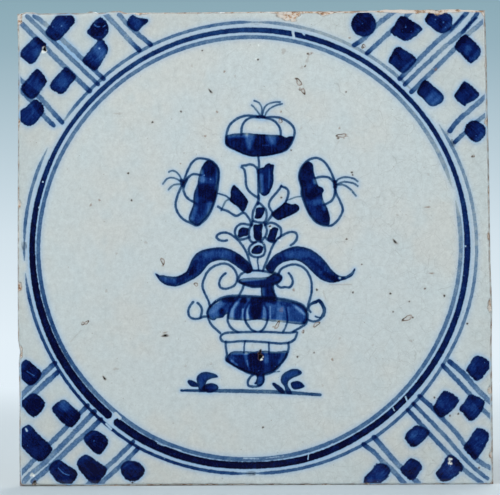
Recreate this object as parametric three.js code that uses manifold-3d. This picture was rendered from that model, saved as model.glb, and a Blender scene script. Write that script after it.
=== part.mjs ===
// A tin-glazed earthenware wall tile, painted in cobalt blue with a vase of flowers in a ring.
// Millimetres. +Z is up and the painted face looks along -Y. The origin is the middle of the back.
import * as THREE from "three";
import { mergeVertices } from "three/addons/utils/BufferGeometryUtils.js";
import Module from "manifold-3d";

const wasm = await Module();
wasm.setup();

// Driving dimensions of the fired tile
const TILE_SIDE = 130.6; // width and height of the face
const CLAY_THICKNESS = 7.2; // biscuit body, back to front
const BACK_INSET = 1.1; // how far each sawn side slopes in towards the back
const CORNER_RADIUS = 1.3; // worn corners, seen from the front
const GLAZE_THICKNESS = 0.6; // white tin glaze on the face
const GLAZE_EDGE_RADIUS = 0.45; // the glaze is rounded where it runs over the edge
const PAINT_COAT = 0.1; // relief of one coat of cobalt

// Driving dimensions of the painting
const RING_MARGIN = 5.3; // side of the tile to the middle of the dark band
const RING_CENTRE = [-1.1, 0.1]; // the ring was struck a little off the middle
const BAND_WIDTH = 1.5; // dark band
const WORN_GAP = [229.4, 232.4]; // degrees between which the dark band has worn away
const FINE_LINE_WIDTH = 0.8; // pale lines on either side of the band
const OUTER_LINE_GAP = 2.35; // middle of the band to the middle of the outer line
const INNER_LINE_GAP = 1.85; // middle of the band to the middle of the inner line
const CORNER_LINE_WIDTH = 1; // pale lines that cross the corners
const CORNER_INSET = 0.2; // the corner marks are measured from this far inside each edge
const CORNER_REACH = 37; // how far the corner marks reach along a side
const CORNER_GRID_COUNT = 37; // squares of the corner drawing along that reach
const MOTIF_HEIGHT = 82; // ground line to the highest sprig
const MOTIF_GRID_COUNT = 82; // squares of the vase drawing over that height
const OUTLINE_SHARE = 0.65; // fine brush outlines of the vase and flowers, as a share of a square
const NAIL_RADIUS = 0.55; // pits left by the nails of the cutting board
const NAIL_DEPTH = 1.4;

// Glaze flaked off the edge
const TOP_CHIPS = [ // along the top edge: from x, deepest at x, to x, and how deep
  [7.2, 9.6, 13.2, 2.7], [18.2, 20.4, 22.6, 1.4], [33.5, 42, 60, 0.6],
];
const CHIP_SHOULDER = 0.3; // depth at the ends of a chip, as a share of its full depth
const CORNER_CHIP = 2.9; // lost off the top left corner, along each edge
const CHIP_OVERRUN = 2; // the shapes that cut the chips run this far past the edge

// Clay that bulges out of the top edge, right of the middle: [along x, height above the edge]
const BULGE = [
  [33.5, 0], [35.5, 0.5], [38, 0.7], [43, 0.8], [47, 0.4], [49.5, 0.2], [52, 0.4], [55.5, 0.6],
  [58.5, 0.3], [60.5, 0],
];
const BULGE_BACK = 2.4; // from the back of the tile to the back of the bulge
const BULGE_THICKNESS = 4.4;
const BULGE_ROOT = 1; // how deep it is rooted in the clay

// How finely curves are divided
const STROKE_STEPS_PER_POINT = 1;
const PATCH_STEPS_PER_POINT = 1.2;
const ARC_DEGREES = 6;
const FULL_TURN = 360;
const CORNER_STEPS = 4;

const half = TILE_SIDE / 2;
const face = CLAY_THICKNESS + GLAZE_THICKNESS;
const ringRadius = half - RING_MARGIN;

const clay = new THREE.MeshStandardMaterial({ color: 0xb08d78, roughness: 0.95 });
const glaze = new THREE.MeshStandardMaterial({ color: 0xc4cdce, roughness: 0.22 });
const paleBlue = new THREE.MeshStandardMaterial({ color: 0x6f93bb, roughness: 0.25 });
const midBlue = new THREE.MeshStandardMaterial({ color: 0x24467c, roughness: 0.25 });
const darkBlue = new THREE.MeshStandardMaterial({ color: 0x0a1548, roughness: 0.25 });

// Solids and meshes

function solidOf(geometry) {
  geometry.deleteAttribute("normal");
  geometry.deleteAttribute("uv");
  const merged = mergeVertices(geometry, 1e-4);
  return new wasm.Manifold(
    new wasm.Mesh({
      numProp: 3,
      vertProperties: merged.attributes.position.array,
      triVerts: new Uint32Array(merged.index.array),
    }),
  );
}

function meshOf(name, solid, material) {
  const { numProp, vertProperties, triVerts } = solid.getMesh();
  const geometry = new THREE.BufferGeometry();
  geometry.setAttribute("position", new THREE.BufferAttribute(vertProperties, numProp));
  geometry.setIndex(new THREE.BufferAttribute(triVerts, 1));
  geometry.computeVertexNormals();
  const mesh = new THREE.Mesh(geometry, material);
  mesh.name = name;
  return mesh;
}

// A flat piece drawn in x and z, from y = -back to y = -(back + thickness).
function plate(outline, back, thickness, hole) {
  const shape = new THREE.Shape(outline);
  if (hole) shape.holes.push(new THREE.Path(hole));
  const geometry = new THREE.ExtrudeGeometry(shape, { depth: thickness, bevelEnabled: false });
  geometry.rotateX(Math.PI / 2);
  geometry.translate(0, -back, 0);
  return solidOf(geometry);
}

// A rounded square, as points in x and z.
function squareOutline(halfSide, radius) {
  const shape = new THREE.Shape();
  const quarter = Math.PI / 2;
  const centre = halfSide - radius;
  [[1, 1], [-1, 1], [-1, -1], [1, -1]].forEach(([sx, sz], i) => {
    shape.absarc(sx * centre, sz * centre, radius, i * quarter, (i + 1) * quarter);
  });
  const points = shape.getPoints(CORNER_STEPS);
  return points.filter((p, i) => p.distanceTo(points[(i + 1) % points.length]) > 1e-6);
}

// A slab through rounded squares, each given as [y, half side, corner radius], back to front.
function slab(sections) {
  const rings = sections.map(([y, halfSide, radius]) =>
    squareOutline(halfSide, radius).map((p) => [p.x, y, p.y]),
  );
  const count = rings[0].length;
  const positions = rings.flat(2);
  const index = [];
  for (let r = 0; r + 1 < rings.length; r += 1) {
    for (let i = 0; i < count; i += 1) {
      const a = r * count + i;
      const b = r * count + ((i + 1) % count);
      index.push(a, b, b + count, a, b + count, a + count);
    }
  }
  const last = (rings.length - 1) * count;
  for (let i = 1; i + 1 < count; i += 1) {
    index.push(0, i + 1, i, last, last + i, last + i + 1);
  }
  const geometry = new THREE.BufferGeometry();
  geometry.setAttribute("position", new THREE.Float32BufferAttribute(positions, 3));
  geometry.setIndex(index);
  return solidOf(geometry);
}

// Brush marks, as closed outlines in x and z

const vector = ([x, z]) => new THREE.Vector2(x, z);

// A stroke along a list of points, with pointed ends. Two points are joined straight.
function stroke(points, width) {
  const curve = new THREE.SplineCurve(points.map(vector));
  const steps = Math.ceil((points.length - 1) * STROKE_STEPS_PER_POINT);
  const left = [];
  const right = [];
  for (let i = 0; i <= steps; i += 1) {
    const point = curve.getPointAt(i / steps);
    const along = curve.getTangentAt(i / steps);
    const across = new THREE.Vector2(-along.y, along.x).multiplyScalar(width / 2);
    if (i === 0) left.push(point.clone().addScaledVector(along, -width / 2));
    left.push(point.clone().add(across));
    right.unshift(point.clone().sub(across));
    if (i === steps) right.unshift(point.clone().addScaledVector(along, width / 2));
  }
  return { outline: [...left, ...right] };
}

// A stroke that closes on itself, painted in two halves that meet.
function loop(points, width) {
  const round = [...points, points[0]];
  const middle = Math.floor(points.length / 2);
  return [stroke(round.slice(0, middle + 1), width), stroke(round.slice(middle), width)];
}

// A filled patch inside a smooth closed curve.
function patch(points) {
  const corners = points.map(([x, z]) => new THREE.Vector3(x, z, 0));
  const curve = new THREE.CatmullRomCurve3(corners, true, "centripetal");
  const steps = Math.ceil(points.length * PATCH_STEPS_PER_POINT);
  const spaced = curve.getSpacedPoints(steps).slice(0, steps);
  return { outline: spaced.map((p) => new THREE.Vector2(p.x, p.y)) };
}

// An arc of the ring, between two angles in degrees.
function arc(radius, width, from, to) {
  const steps = Math.ceil((to - from) / ARC_DEGREES);
  const outline = [];
  for (let i = 0; i <= 2 * steps + 1; i += 1) {
    const outward = i <= steps;
    const angle = from + ((outward ? i : 2 * steps + 1 - i) * (to - from)) / steps;
    outline.push(vector(onRing(angle, radius + (outward ? width : -width) / 2)));
  }
  return { outline };
}

function fullRing(radius, width) {
  const circle = (r) => {
    const corners = FULL_TURN / ARC_DEGREES;
    return Array.from({ length: corners }, (_, i) => vector(onRing(i * ARC_DEGREES, r)));
  };
  return { outline: circle(radius + width / 2), hole: circle(radius - width / 2) };
}

function onRing(degrees, radius) {
  const angle = THREE.MathUtils.degToRad(degrees);
  return [RING_CENTRE[0] + radius * Math.cos(angle), RING_CENTRE[1] + radius * Math.sin(angle)];
}

// The vase drawing is written in squares of its own grid, measured from the middle of the tile.
// Widths are in squares too, so that the drawing keeps together at any height.
const motifSquare = MOTIF_HEIGHT / MOTIF_GRID_COUNT;
const motif = (points) => points.map(([x, z]) => [x * motifSquare, z * motifSquare]);
const line = (points, width = OUTLINE_SHARE) => stroke(motif(points), width * motifSquare);
const closed = (points) => loop(motif(points), OUTLINE_SHARE * motifSquare);
const wash = (points) => patch(motif(points));

// Corner marks are written in squares inwards from their own corner of the tile.
const cornerSquare = CORNER_REACH / CORNER_GRID_COUNT;
const cornerStart = half - CORNER_INSET;
const corner = ([sx, sz], points) => points.map(
  ([u, v]) => [sx * (cornerStart - u * cornerSquare), sz * (cornerStart - v * cornerSquare)],
);

// Painted corners: the stretch of the ring's outer line that passes the corner, lines that start
// near the edge and end at an angle of that outer line, and dabs.
const CORNERS = {
  nw: {
    signs: [-1, 1],
    arc: [90.4, 179.6],
    lines: [
      [[4.9, 0.2], [8.7, 3.1], 130.5], [[2.9, 0.2], 132.5],
      [[1.5, 2.7], [4.4, 5.5], [13.5, 14], 135], [[0.5, 16.9], [6.1, 22.4], 145.6],
      [[0.5, 20.5], [3.4, 23.6], [7, 27.9], 148.2], [[24.8, 0.3], 118.5],
      [[28.6, 0.2], [30.8, 2.7], [33.7, 5.8], 115.6],
    ],
    dabs: [
      [[11, 0.3], [14.4, -0.2], [16, 1.3], [14.6, 3.6], [12.4, 6], [10.9, 7.2], [8.4, 5.7],
        [7.9, 4.6], [9.3, 2.4]],
      [[5.4, 6], [7.3, 7.4], [8.1, 8.2], [6.4, 10.3], [5, 12.8], [3.9, 13.5], [1.3, 11.7],
        [0.7, 10.6], [2.1, 8.8], [4.2, 6.6]],
      [[5.6, 15], [7.3, 16.8], [8.1, 18.3], [6.2, 21.3], [4.6, 23.1], [3.4, 23.1], [1.5, 21.3],
        [1, 20.2], [2.6, 18], [4.6, 15.6]],
      [[13.4, 14.5], [15.3, 16], [16.2, 17.2], [14.8, 19.2], [12.9, 21.6], [12, 21.9],
        [9.8, 20.7], [9, 19.8], [10, 18], [12, 15.8]],
      [[5.1, 23.4], [6.8, 24.8], [7.4, 26.1], [6.6, 28], [4.2, 30.4], [2.7, 30.7], [0.7, 29],
        [0.4, 27.1], [2.6, 25.3], [4, 24]],
      [[23.2, 0.8], [24.7, 2.1], [25.3, 4.4], [24, 6.4], [22.5, 7], [20.7, 6.1], [19.5, 4.9],
        [19.9, 3.9], [21.8, 1.6]],
      [[23, 6.7], [24.8, 8.4], [25.2, 9.8], [24.2, 12], [22.3, 14.8], [21.5, 15.5],
        [19.6, 14.4], [18.1, 13], [18.9, 11.4], [21.3, 8.6]],
      [[30.7, 1.6], [32.1, 0.2], [33.4, 0.9], [36.4, 1.6], [34.5, 3.6], [33.2, 4.7],
        [31.2, 3.6], [30.5, 2.5]],
    ],
  },
  ne: {
    signs: [1, 1],
    arc: [43.6, 89.6],
    lines: [
      [[25.5, 0.3], [30.3, 3.9], [34.4, 8], 62.1], [[20.7, 0.4], [26.9, 5.6], 58.4],
      [[5.6, 0.5], [9.4, 4.9], [13.5, 8], [18.8, 13.3], 47.8],
      [[2.7, 1], [6.3, 5.8], [15.9, 13.3], 46],
      [[1.3, 3.2], [5.3, 6.5], [9.2, 10.9], [14.5, 16.1], 43.5],
    ],
    dabs: [
      [[37.4, 3.3], [36.4, 5.7], [34, 6.7], [31.6, 5.7], [30.6, 3.3], [31.6, 0.9], [34, -0.1],
        [36.4, 0.9]],
      [[23, 1.2], [20.6, 2.6], [17.9, 4.8], [19, 6], [21.1, 7.6], [22.3, 8.1], [24.9, 6.9],
        [26.6, 5.5], [25.6, 3.8], [24, 1.4]],
      [[14.6, 0], [12, 0.6], [9.9, 1.6], [9.7, 3.8], [10.4, 5.2], [12.7, 6.2], [15.6, 4.4],
        [17.1, 3.1], [16.9, 1.9], [15.8, 0.5]],
      [[6.1, 6.7], [4, 8.4], [2.1, 10.8], [2.2, 12.3], [4, 14.2], [4.9, 14.6], [7.2, 12.2],
        [9.1, 10.2], [7.9, 8], [7, 6.9]],
      [[24.6, 9.7], [22.3, 10.9], [19.6, 13.1], [20.6, 14.8], [23, 16.9], [23.7, 16.8],
        [26.1, 14.8], [27.2, 13.8], [26.5, 12], [25.4, 10.2]],
      [[17.1, 19], [14.8, 20.8], [12.4, 23.2], [12.3, 24.7], [14.8, 26.2], [15.8, 26.1],
        [17.7, 24.2], [19.4, 22.4], [18.7, 20.7], [17.8, 19.4]],
      [[6.2, 19.5], [4, 21.3], [2.5, 23], [3.1, 24.2], [5.7, 25.6], [6.4, 26.2], [7.6, 25.4],
        [9.2, 23.4], [8.4, 22], [7, 20.1]],
      [[3.8, 30.3], [0.8, 32.2], [0.8, 34.1], [3.4, 36.3], [6.5, 33.2], [5.4, 31]],
    ],
  },
  sw: {
    signs: [-1, -1],
    arc: [180.4, 269.6],
    lines: [
      [[0.5, 24.8], [2.7, 27.2], [7, 31.3], 210.1], [[0.5, 22.1], [4.9, 25.5], 212.7],
      [[0.5, 3.2], [9.2, 12.1], 223.8], [[0.8, 0.8], [7.3, 6.5], [15.9, 15.4], 226],
      [[4.1, 1.7], [11.1, 7.7], 228.6], [[19.3, 0.8], [25, 5.6], 238.5],
      [[22.6, 0.3], [27.9, 5.1], 240.7],
    ],
    dabs: [
      [[2.1, 34.5], [4.5, 33], [6.4, 31], [5, 28.5], [3.3, 27.6], [1.2, 29.2], [0.5, 32.1],
        [1, 33.7]],
      [[4.3, 25.3], [6.4, 24], [7.4, 22.4], [6, 20.1], [4.3, 18.9], [1.9, 20.8], [1, 23],
        [2.4, 24.4]],
      [[12.7, 23.5], [14.8, 21.8], [17.1, 19.6], [16.9, 18.4], [14.8, 16], [13.7, 16.2],
        [11.5, 18], [9.4, 21.1], [10, 22.1], [11.6, 23.1]],
      [[3.1, 16.6], [4.8, 14.8], [7.6, 12.2], [9.3, 10], [7.9, 7.9], [6.2, 6.6], [3.8, 7.9],
        [1.2, 10.5], [0.4, 14], [1.2, 15.8]],
      [[20.6, 15], [23.2, 14.1], [24.7, 12.3], [24.1, 10.3], [22.3, 8.5], [20.4, 9.7],
        [18.1, 12.7], [19.1, 14.2]],
      [[11.2, 7], [13.4, 5.7], [16.2, 3.3], [15.1, 0.9], [13.4, 0], [11.5, 0.7], [9.8, 2.1],
        [8.5, 4.6], [9.5, 6.3]],
      [[18.7, 8.4], [21.3, 6.8], [24.4, 4.3], [22.8, 1.6], [21.1, 0.4], [18.2, 2.6], [16.2, 6],
        [17.4, 7.8]],
      [[30.2, 6.6], [33.3, 6.1], [34.8, 4], [33.6, 1.9], [31.4, 1.1], [29.2, 2.1], [28.2, 4.5],
        [29, 6]],
    ],
  },
  se: {
    signs: [1, -1],
    arc: [-89.6, 32.6],
    lines: [
      [[0.2, 22.1], [3.9, 26.2], [7.3, 29.8], 329.9],
      [[0.2, 18.1], [2.5, 20.2], [5.8, 24.8], [9.7, 28.6], 328.1],
      [[0.5, 4.7], [3.9, 6.8], [9.9, 14.5], [15.9, 20.9], 318.6],
      [[1.3, 1.5], [5.8, 5.3], [13.5, 14], 316.2],
      [[2.9, 0.2], [7.5, 3.7], [12.3, 8.7], [16.6, 13.7], 313.9],
      [[20.2, 0.3], [25.5, 5.1], [29.1, 9.2], 303], [[24.1, 0.3], [30.1, 6.3], 299.8],
    ],
    dabs: [
      [[3.8, 35], [0.9, 33.8], [0.2, 32.6], [1.9, 29.5], [3.9, 28.2], [6, 30.2], [6.6, 31.3],
        [5.3, 33.4]],
      [[12.9, 25.4], [10.8, 24.7], [8.8, 23], [10.5, 20.4], [12.6, 18.7], [13.9, 18.2],
        [15.8, 20.8], [15, 22.5], [13.7, 24.5]],
      [[5.7, 24.3], [3.1, 23.5], [1.8, 22.4], [2.8, 19.6], [5, 17.4], [6, 17.3], [7.6, 19.2],
        [8.6, 20.5], [7.2, 22.5]],
      [[20.6, 16], [18, 15.2], [17, 14], [18.4, 12.2], [20.7, 10.3], [21.9, 10.2], [23.6, 13],
        [22, 15.1]],
      [[4, 15.1], [1.6, 14.5], [0.7, 13], [2.4, 9.3], [4.6, 6.6], [6.2, 8], [7.6, 10], [6.2, 12],
        [4.8, 14.2]],
      [[22.3, 6.9], [20.4, 6.4], [19.1, 4.7], [20.1, 2.8], [21.9, 1], [24, 2.5], [25, 4],
        [23.8, 5.5]],
      [[11.5, 7.9], [9.6, 7], [7.9, 4.3], [9.2, 2.7], [12, 0.9], [13.7, 0.8], [15.2, 2.7],
        [13.7, 5], [12.5, 7.1]],
      [[31.4, 5.6], [28.8, 5.2], [27.8, 3.7], [28.8, 1.6], [31.4, 0.2], [34.8, 0.3],
        [34.8, 1.8], [32.8, 4]],
    ],
  },
};

// The right-hand pair of lines at the top right meets the stretch of outer line below it.
const EAST_LINES = [
  [[0.5, 23.6], [5.1, 27.7], [9.4, 31.4], 29.4], [[0.5, 28.6], [7, 34.1], 26.6],
];

const outerLineRadius = ringRadius + OUTER_LINE_GAP;

function cornerLine(signs, row) {
  const end = onRing(row.at(-1), outerLineRadius);
  return stroke([...corner(signs, row.slice(0, -1)), end], CORNER_LINE_WIDTH);
}

function cornerLines(name) {
  const { signs, lines, arc: [from, to] } = CORNERS[name];
  const outer = arc(outerLineRadius, FINE_LINE_WIDTH, from, to);
  const extra = name === "se" ? EAST_LINES.map((row) => cornerLine([1, 1], row)) : [];
  return [outer, ...lines.map((row) => cornerLine(signs, row)), ...extra];
}

// The big flower at the top: two lobes of outline, two ribs, four sprigs and their knot.
const TOP_FLOWER = [
  line([[2.3, 36.3], [-1.5, 36.6], [-3.5, 36.1], [-5, 35.2], [-6.2, 34], [-6.9, 32.5],
    [-7.2, 31], [-7.3, 29.6]]),
  line([[1.5, 36.1], [0, 36.1], [-1.3, 35.6], [-2.4, 34.6], [-2.9, 33.2], [-3.05, 31.2]]),
  line([[3, 36.1], [4.5, 35.6], [6, 35.1], [7.1, 34], [7.7, 32.8], [7.9, 31]]),
  line([[3, 36.05], [6, 36.15], [7.6, 35.9], [9.3, 35.2], [10.8, 34], [11.6, 32.7],
    [11.6, 31], [10.4, 27.9], [9.3, 26.8], [5, 25.6], [1.6, 25.3], [-1.5, 25.6], [-5, 27.1],
    [-7.1, 28.4], [-7.3, 29.6]]),
  line([[2.2, 36.6], [1.6, 37.6], [0.7, 38.8], [-0.2, 39.7]]),
  line([[2.5, 36.4], [2.6, 38.6], [2.2, 39.8], [1.4, 40.6], [0.5, 40.9]]),
  line([[2.7, 36.4], [3.1, 38.4], [3.8, 39.6], [5, 40.2], [6.5, 40.5], [7.6, 40.5]]),
  line([[3.2, 36.2], [4, 37.8], [5, 38.8], [6.4, 39.5], [8.2, 39.95]]),
  line([[1.6, 36.2], [3.2, 36.2]], 1),
];

const TULIP = [
  line([[1.65, 25.4], [1.75, 23.6], [1.8, 22.5], [1.45, 21]]),
  line([[-2.9, 22.8], [-1.8, 22.9], [-0.8, 23.2], [0.3, 22.9], [1.1, 22.2], [1.45, 21],
    [1.5, 19], [1.5, 16.5], [1.6, 14.4]]),
  line([[-3.1, 22.4], [-2.4, 21.9], [-2, 20.5], [-1.9, 18.6], [-1.7, 17], [-1.1, 15.9],
    [-0.2, 15], [0.8, 14.4], [1.7, 13.7]]),
  line([[1.6, 14.4], [1.6, 13.4], [1.4, 12.2]], 0.9),
];

const BERRY_OUTLINES = [
  ...closed([[1.5, 12.4], [0.7, 11.2], [0.1, 10], [-0.1, 8.6], [0.1, 7.5], [1, 7.2], [2.5, 6.9],
    [3.2, 7], [3.7, 8], [3.8, 9.3], [3.6, 10.4], [2.9, 11.3]]),
  line([[-0.3, 6.2], [-1.8, 6.5], [-3.2, 6.6], [-4.3, 6], [-4.9, 5], [-4.9, 3.9], [-4.4, 2.9],
    [-3.5, 2.3], [-2.6, 2.4], [-1.7, 2.8], [-0.9, 3]]),
  line([[-0.1, 7.3], [-0.3, 6.3], [-0.9, 5.4], [-1.1, 4.3], [-1.1, 2.8], [-0.7, 2],
    [-0.1, 1.5], [0.8, 1.5]]),
  line([[3.1, 7], [3.7, 5.4], [3.8, 4.2], [3.4, 3.2], [2.7, 2.3], [2.1, 1.6]]),
  line([[3.6, 6.4], [5, 6.9], [6.1, 6.6], [7, 6], [7.6, 5.4], [7.8, 4.4], [7.6, 3.2],
    [7, 2.5]]),
  line([[3.4, 2.9], [4, 2.2], [4.6, 1.8], [5.6, 1.5], [6.3, 1.9]]),
  ...closed([[1.5, 1.8], [0.1, 1.2], [-0.8, 0.4], [-1.2, -0.6], [-0.9, -1.7], [0, -2.4], [1, -2.6],
    [2.3, -2.4], [3, -1.9], [3.3, -0.9], [3.2, 0.3], [2.8, 1.2]]),
];

// The stems that leave the vase, two of them ending in a curl.
const STEMS = [
  line([[-7.2, 2.1], [-8.2, 2], [-9.3, 2.2], [-10, 2.9], [-9.9, 3.5], [-9, 4.1], [-8, 4.3],
    [-6.9, 4.1], [-5.6, 3.4], [-4.4, 2.4], [-3.4, 1.3], [-2.5, 0], [-1.7, -1.6], [-1.2, -3],
    [-0.8, -4.5], [-0.3, -6.1]]),
  line([[10.4, 0.6], [11.2, 1.2], [12, 2.2], [12.2, 3.2], [11.8, 4], [11, 4.3], [10, 4.2],
    [8.8, 3.6], [7.6, 3.1], [6.6, 2.3], [5.6, 0.8], [4.8, -1], [4, -3], [3.4, -4.7],
    [2.6, -6.5]]),
  line([[1.4, -2.5], [1.2, -3.6], [1.4, -5], [1.5, -6.4]]),
  line([[-0.6, -6.1], [1.4, -6.3], [2.8, -6.5]]),
];

const BUD_OUTLINES = [
  line([[-9.6, 15.1], [-8.5, 14.8], [-7.4, 14.4], [-6.6, 13.8], [-5.9, 13.1], [-4.8, 12.2],
    [-3.9, 11.3], [-2.6, 9.8]]),
  line([[-6.4, 13.4], [-7.4, 13], [-7.9, 12.1], [-8.3, 11.4], [-8.7, 10.4]]),
  line([[-9.6, 11.5], [-8.5, 10.8], [-7, 10.2], [-5.8, 9.5], [-4.8, 8.9], [-4, 9], [-3.2, 9.5],
    [-2.3, 9.6], [-1.2, 8.3], [-0.7, 7.4], [-0.4, 6.2]]),
  line([[7.9, 17.1], [7.4, 16.2], [6.4, 15], [5.4, 13.8], [4.7, 12.8], [4.5, 11.7],
    [4.8, 10.6], [5.4, 9.6], [4.7, 8.4], [4, 7.4], [3.3, 6.2]]),
  line([[7.9, 16.9], [9.2, 16.4], [9.8, 15.6], [9.8, 14.4], [9.4, 13.2], [8.9, 12.3],
    [7.6, 11.3], [5.5, 9.5]]),
  line([[9.2, 12.9], [10.5, 13.4], [11.8, 13.9], [13.6, 14.1]]),
];

const LEFT_FLOWER = [
  ...closed([[-19.2, 18], [-18.8, 19.3], [-17.8, 21.7], [-17.3, 22.8], [-16.4, 24], [-15.2, 24.8],
    [-14.1, 24.8], [-12.7, 24.6], [-11.4, 24.1], [-10.4, 23.3], [-9.7, 22.4], [-9.3, 21.2],
    [-9.3, 20], [-9.6, 18], [-9.9, 15.4], [-10.4, 13.4], [-11.6, 10.2], [-12.4, 8.8],
    [-13.5, 7.6], [-15.3, 6.3], [-17.5, 7.1], [-18.9, 7.8], [-19.9, 8.7], [-20.7, 9.8],
    [-21.2, 11.1], [-21.3, 12.5], [-20.9, 14.2], [-20.3, 15.8], [-19.5, 17.4]]),
  line([[-19.2, 18], [-18.1, 19.1], [-17.4, 20], [-16.3, 20.5], [-15.1, 20.4],
    [-14.2, 20.2]]),
  line([[-18.1, 19.1], [-18.7, 17.8], [-19.1, 16.6], [-19, 15.6], [-18.4, 14.3],
    [-17.4, 13.4], [-16.1, 12.6], [-15.3, 12.2]]),
  line([[-19.6, 18.6], [-19.9, 19.6], [-20.6, 20.6], [-21.5, 21.4], [-22.5, 21.5],
    [-23.1, 21.2]]),
  line([[-19.6, 18.3], [-21, 19.2], [-22.4, 19.6], [-23.6, 19.3], [-24.3, 18.6],
    [-24.8, 17.9]]),
  line([[-19.6, 17.7], [-21.3, 17.7], [-22.4, 17.2], [-23.3, 16.2]]),
  line([[-19.6, 18.6], [-19.2, 17.4]], 1.3),
];

const RIGHT_FLOWER = [
  ...closed([[22.7, 17.8], [22.2, 19.4], [21.6, 20.9], [20.8, 22.3], [19.9, 23.5], [18.7, 24.4],
    [17.6, 24.7], [16.3, 24.5], [15.2, 23.9], [14.2, 23], [13.4, 21.8], [12.9, 20.4],
    [12.9, 19], [13.1, 17.8], [13.5, 16.5], [13.5, 14.8], [13.9, 13.4], [14.5, 11.8],
    [15.7, 9.1], [17.2, 7.2], [18.7, 6.3], [20.2, 6], [21.6, 6], [22.8, 6.8], [24, 8.3],
    [24.8, 10.2], [24.3, 12.2], [23.7, 13.7], [23, 15], [22.8, 16.6]]),
  line([[17.2, 19.1], [18.3, 19.4], [19.6, 19.5], [20.8, 19.3], [21.6, 18.8], [22.6, 17.8]]),
  line([[22.7, 16.6], [22.6, 14.8], [22.3, 13.6], [21.6, 12.7], [20.3, 12], [19.6, 11.6]]),
  line([[22.9, 17.8], [23.6, 18.7], [24.4, 19.1], [25.6, 19.3], [26.8, 19.2], [28, 18.8],
    [29, 18.1]]),
  line([[22.8, 17.2], [24.4, 17.8], [25.4, 18], [26.6, 17.9], [28, 17.5], [29, 16.8]]),
  line([[23.2, 17.2], [24.8, 17.2], [26, 16.7], [27, 15.9], [27.8, 14.9], [28.5, 14.1]]),
  line([[22.7, 18], [22.8, 16.6]], 1.2),
];

const VASE = [
  // lip
  ...closed([[-4.2, -9], [-3.7, -7.6], [-2.6, -6.8], [-1.4, -6.5], [1.4, -6.3], [3.5, -6.6],
    [5.6, -7.1], [7.2, -7.5], [7.8, -8.3], [7.2, -9.4], [6, -10], [4, -10.3], [2, -10.7],
    [0, -10.8], [-1.6, -10.4], [-3, -9.9]]),
  // neck
  line([[-2.6, -10], [-3, -11.4], [-3.7, -12.7], [-4, -13.4]]),
  line([[5.4, -10.2], [5.6, -12.2], [6.5, -14.1]]),
  // bowl
  line([[-9.2, -23.4], [-11.2, -21.6], [-12.1, -20.3], [-12.6, -18.8], [-12.7, -17.6],
    [-12.2, -16.5], [-11.2, -15.4], [-9.8, -14.3], [-8, -13.5], [-6, -13.2], [-3, -13.3],
    [0, -13.4], [3, -13.6], [6.5, -14.1], [8.4, -14.2], [10.5, -14.7], [12.6, -15.4],
    [13.7, -16], [14.4, -17], [14.9, -18.4], [14.9, -19.8], [14.4, -21], [12.4, -22.2],
    [10.8, -23.2]]),
  // ribs of the bowl
  line([[-6.4, -14], [-7, -18.6], [-7, -20.2], [-6.4, -21.7], [-5.2, -22.8], [-4.2, -23.2]]),
  line([[-1.6, -14], [-2.4, -18], [-2.3, -19.8], [-1.6, -21.3], [-0.6, -22.5], [0.6, -23.1]]),
  line([[3.4, -14], [4, -18], [4, -19.6], [3.6, -21.2], [2.8, -22.4], [1.8, -23.1]]),
  line([[8.4, -14.6], [9.4, -18.6], [9.4, -20.4], [8.9, -21.8], [8.1, -23.2]]),
  // collar
  ...closed([[11.9, -23.3], [9, -23.4], [3, -23.1], [-3, -23.1], [-6, -23.2], [-8, -23.4],
    [-9.1, -24.1], [-9.2, -24.9], [-8.4, -25.7], [-6, -25.7], [-3, -25.6], [0, -25.8],
    [3, -25.9], [7, -26.3], [9, -26.2], [10.4, -25.8], [11.3, -25], [11.7, -24]]),
  // foot
  line([[-7.7, -25.8], [-7.7, -27], [-7.4, -29.4], [-7.6, -30.8], [-6, -32], [-4, -33.2],
    [-2, -34.2], [0, -34.8], [1.5, -35], [3.4, -34.8], [5, -34.3], [6.4, -33.2], [8, -31.3],
    [9, -29.8], [9.6, -27.6], [9.5, -26.2]]),
  line([[-2.4, -25.7], [-2.6, -27], [-2.7, -28.9]]),
  line([[4.1, -26], [4.2, -27.5], [4.2, -28.9]]),
  // knob under the foot
  line([[0, -34.8], [-1, -35.6], [-1.7, -36.6], [-1.8, -37.6], [-1.5, -38.1], [-0.5, -38.3],
    [1, -38.2], [1.8, -37.9]]),
];

const HANDLES = [
  line([[-12, -16], [-12.4, -14.6], [-12.9, -13.4], [-13.6, -12], [-14, -10.6], [-13.9, -9.4],
    [-13.4, -8], [-12.8, -6.8], [-12, -5.9], [-10.8, -5], [-9.4, -4.5], [-8.3, -4.3],
    [-7.2, -4.4], [-6, -5.1], [-5, -6.2], [-4.5, -7.4], [-4.4, -8.6], [-4.7, -9.6],
    [-5.4, -10.5], [-6.8, -11.1], [-8.2, -11.2], [-9.1, -10.8], [-9.4, -9.8], [-9.1, -8.6],
    [-8.5, -7.7], [-7.6, -7]]),
  line([[-12.5, -18.9], [-13.8, -18.9], [-14.8, -19.3], [-16, -19.5], [-17.2, -19.2],
    [-17.9, -18.3], [-17.9, -17], [-17.4, -15.8], [-16.6, -14.8]]),
  line([[-15.4, -15.1], [-14.6, -15.9], [-14.2, -17.1], [-14.6, -19.1]]),
  line([[9.8, -7.1], [10.5, -8], [10.9, -9.2], [10.7, -10.2], [9.9, -11], [8.8, -10.9],
    [7.6, -11], [6.7, -10.5], [6.2, -9.8]]),
  line([[7, -7.4], [7.4, -6.3], [8.2, -5.6], [9.2, -5.1], [10.8, -4.7], [12.2, -4.8],
    [13.4, -5.3], [14.6, -6.3], [15.5, -7.8], [16, -9.4], [16.1, -11], [16, -12.6],
    [15.6, -14], [15.1, -15.4], [14.6, -17.4]]),
  line([[15.9, -17.8], [15.4, -17], [15.8, -16], [16.6, -15.4], [18.1, -14.7], [19, -15.8],
    [19.5, -17.2], [19.4, -18.3], [18.8, -19.2], [18, -19.9], [17, -20.3], [15.8, -20.1],
    [14.6, -19.6]], 0.8),
];

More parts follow.
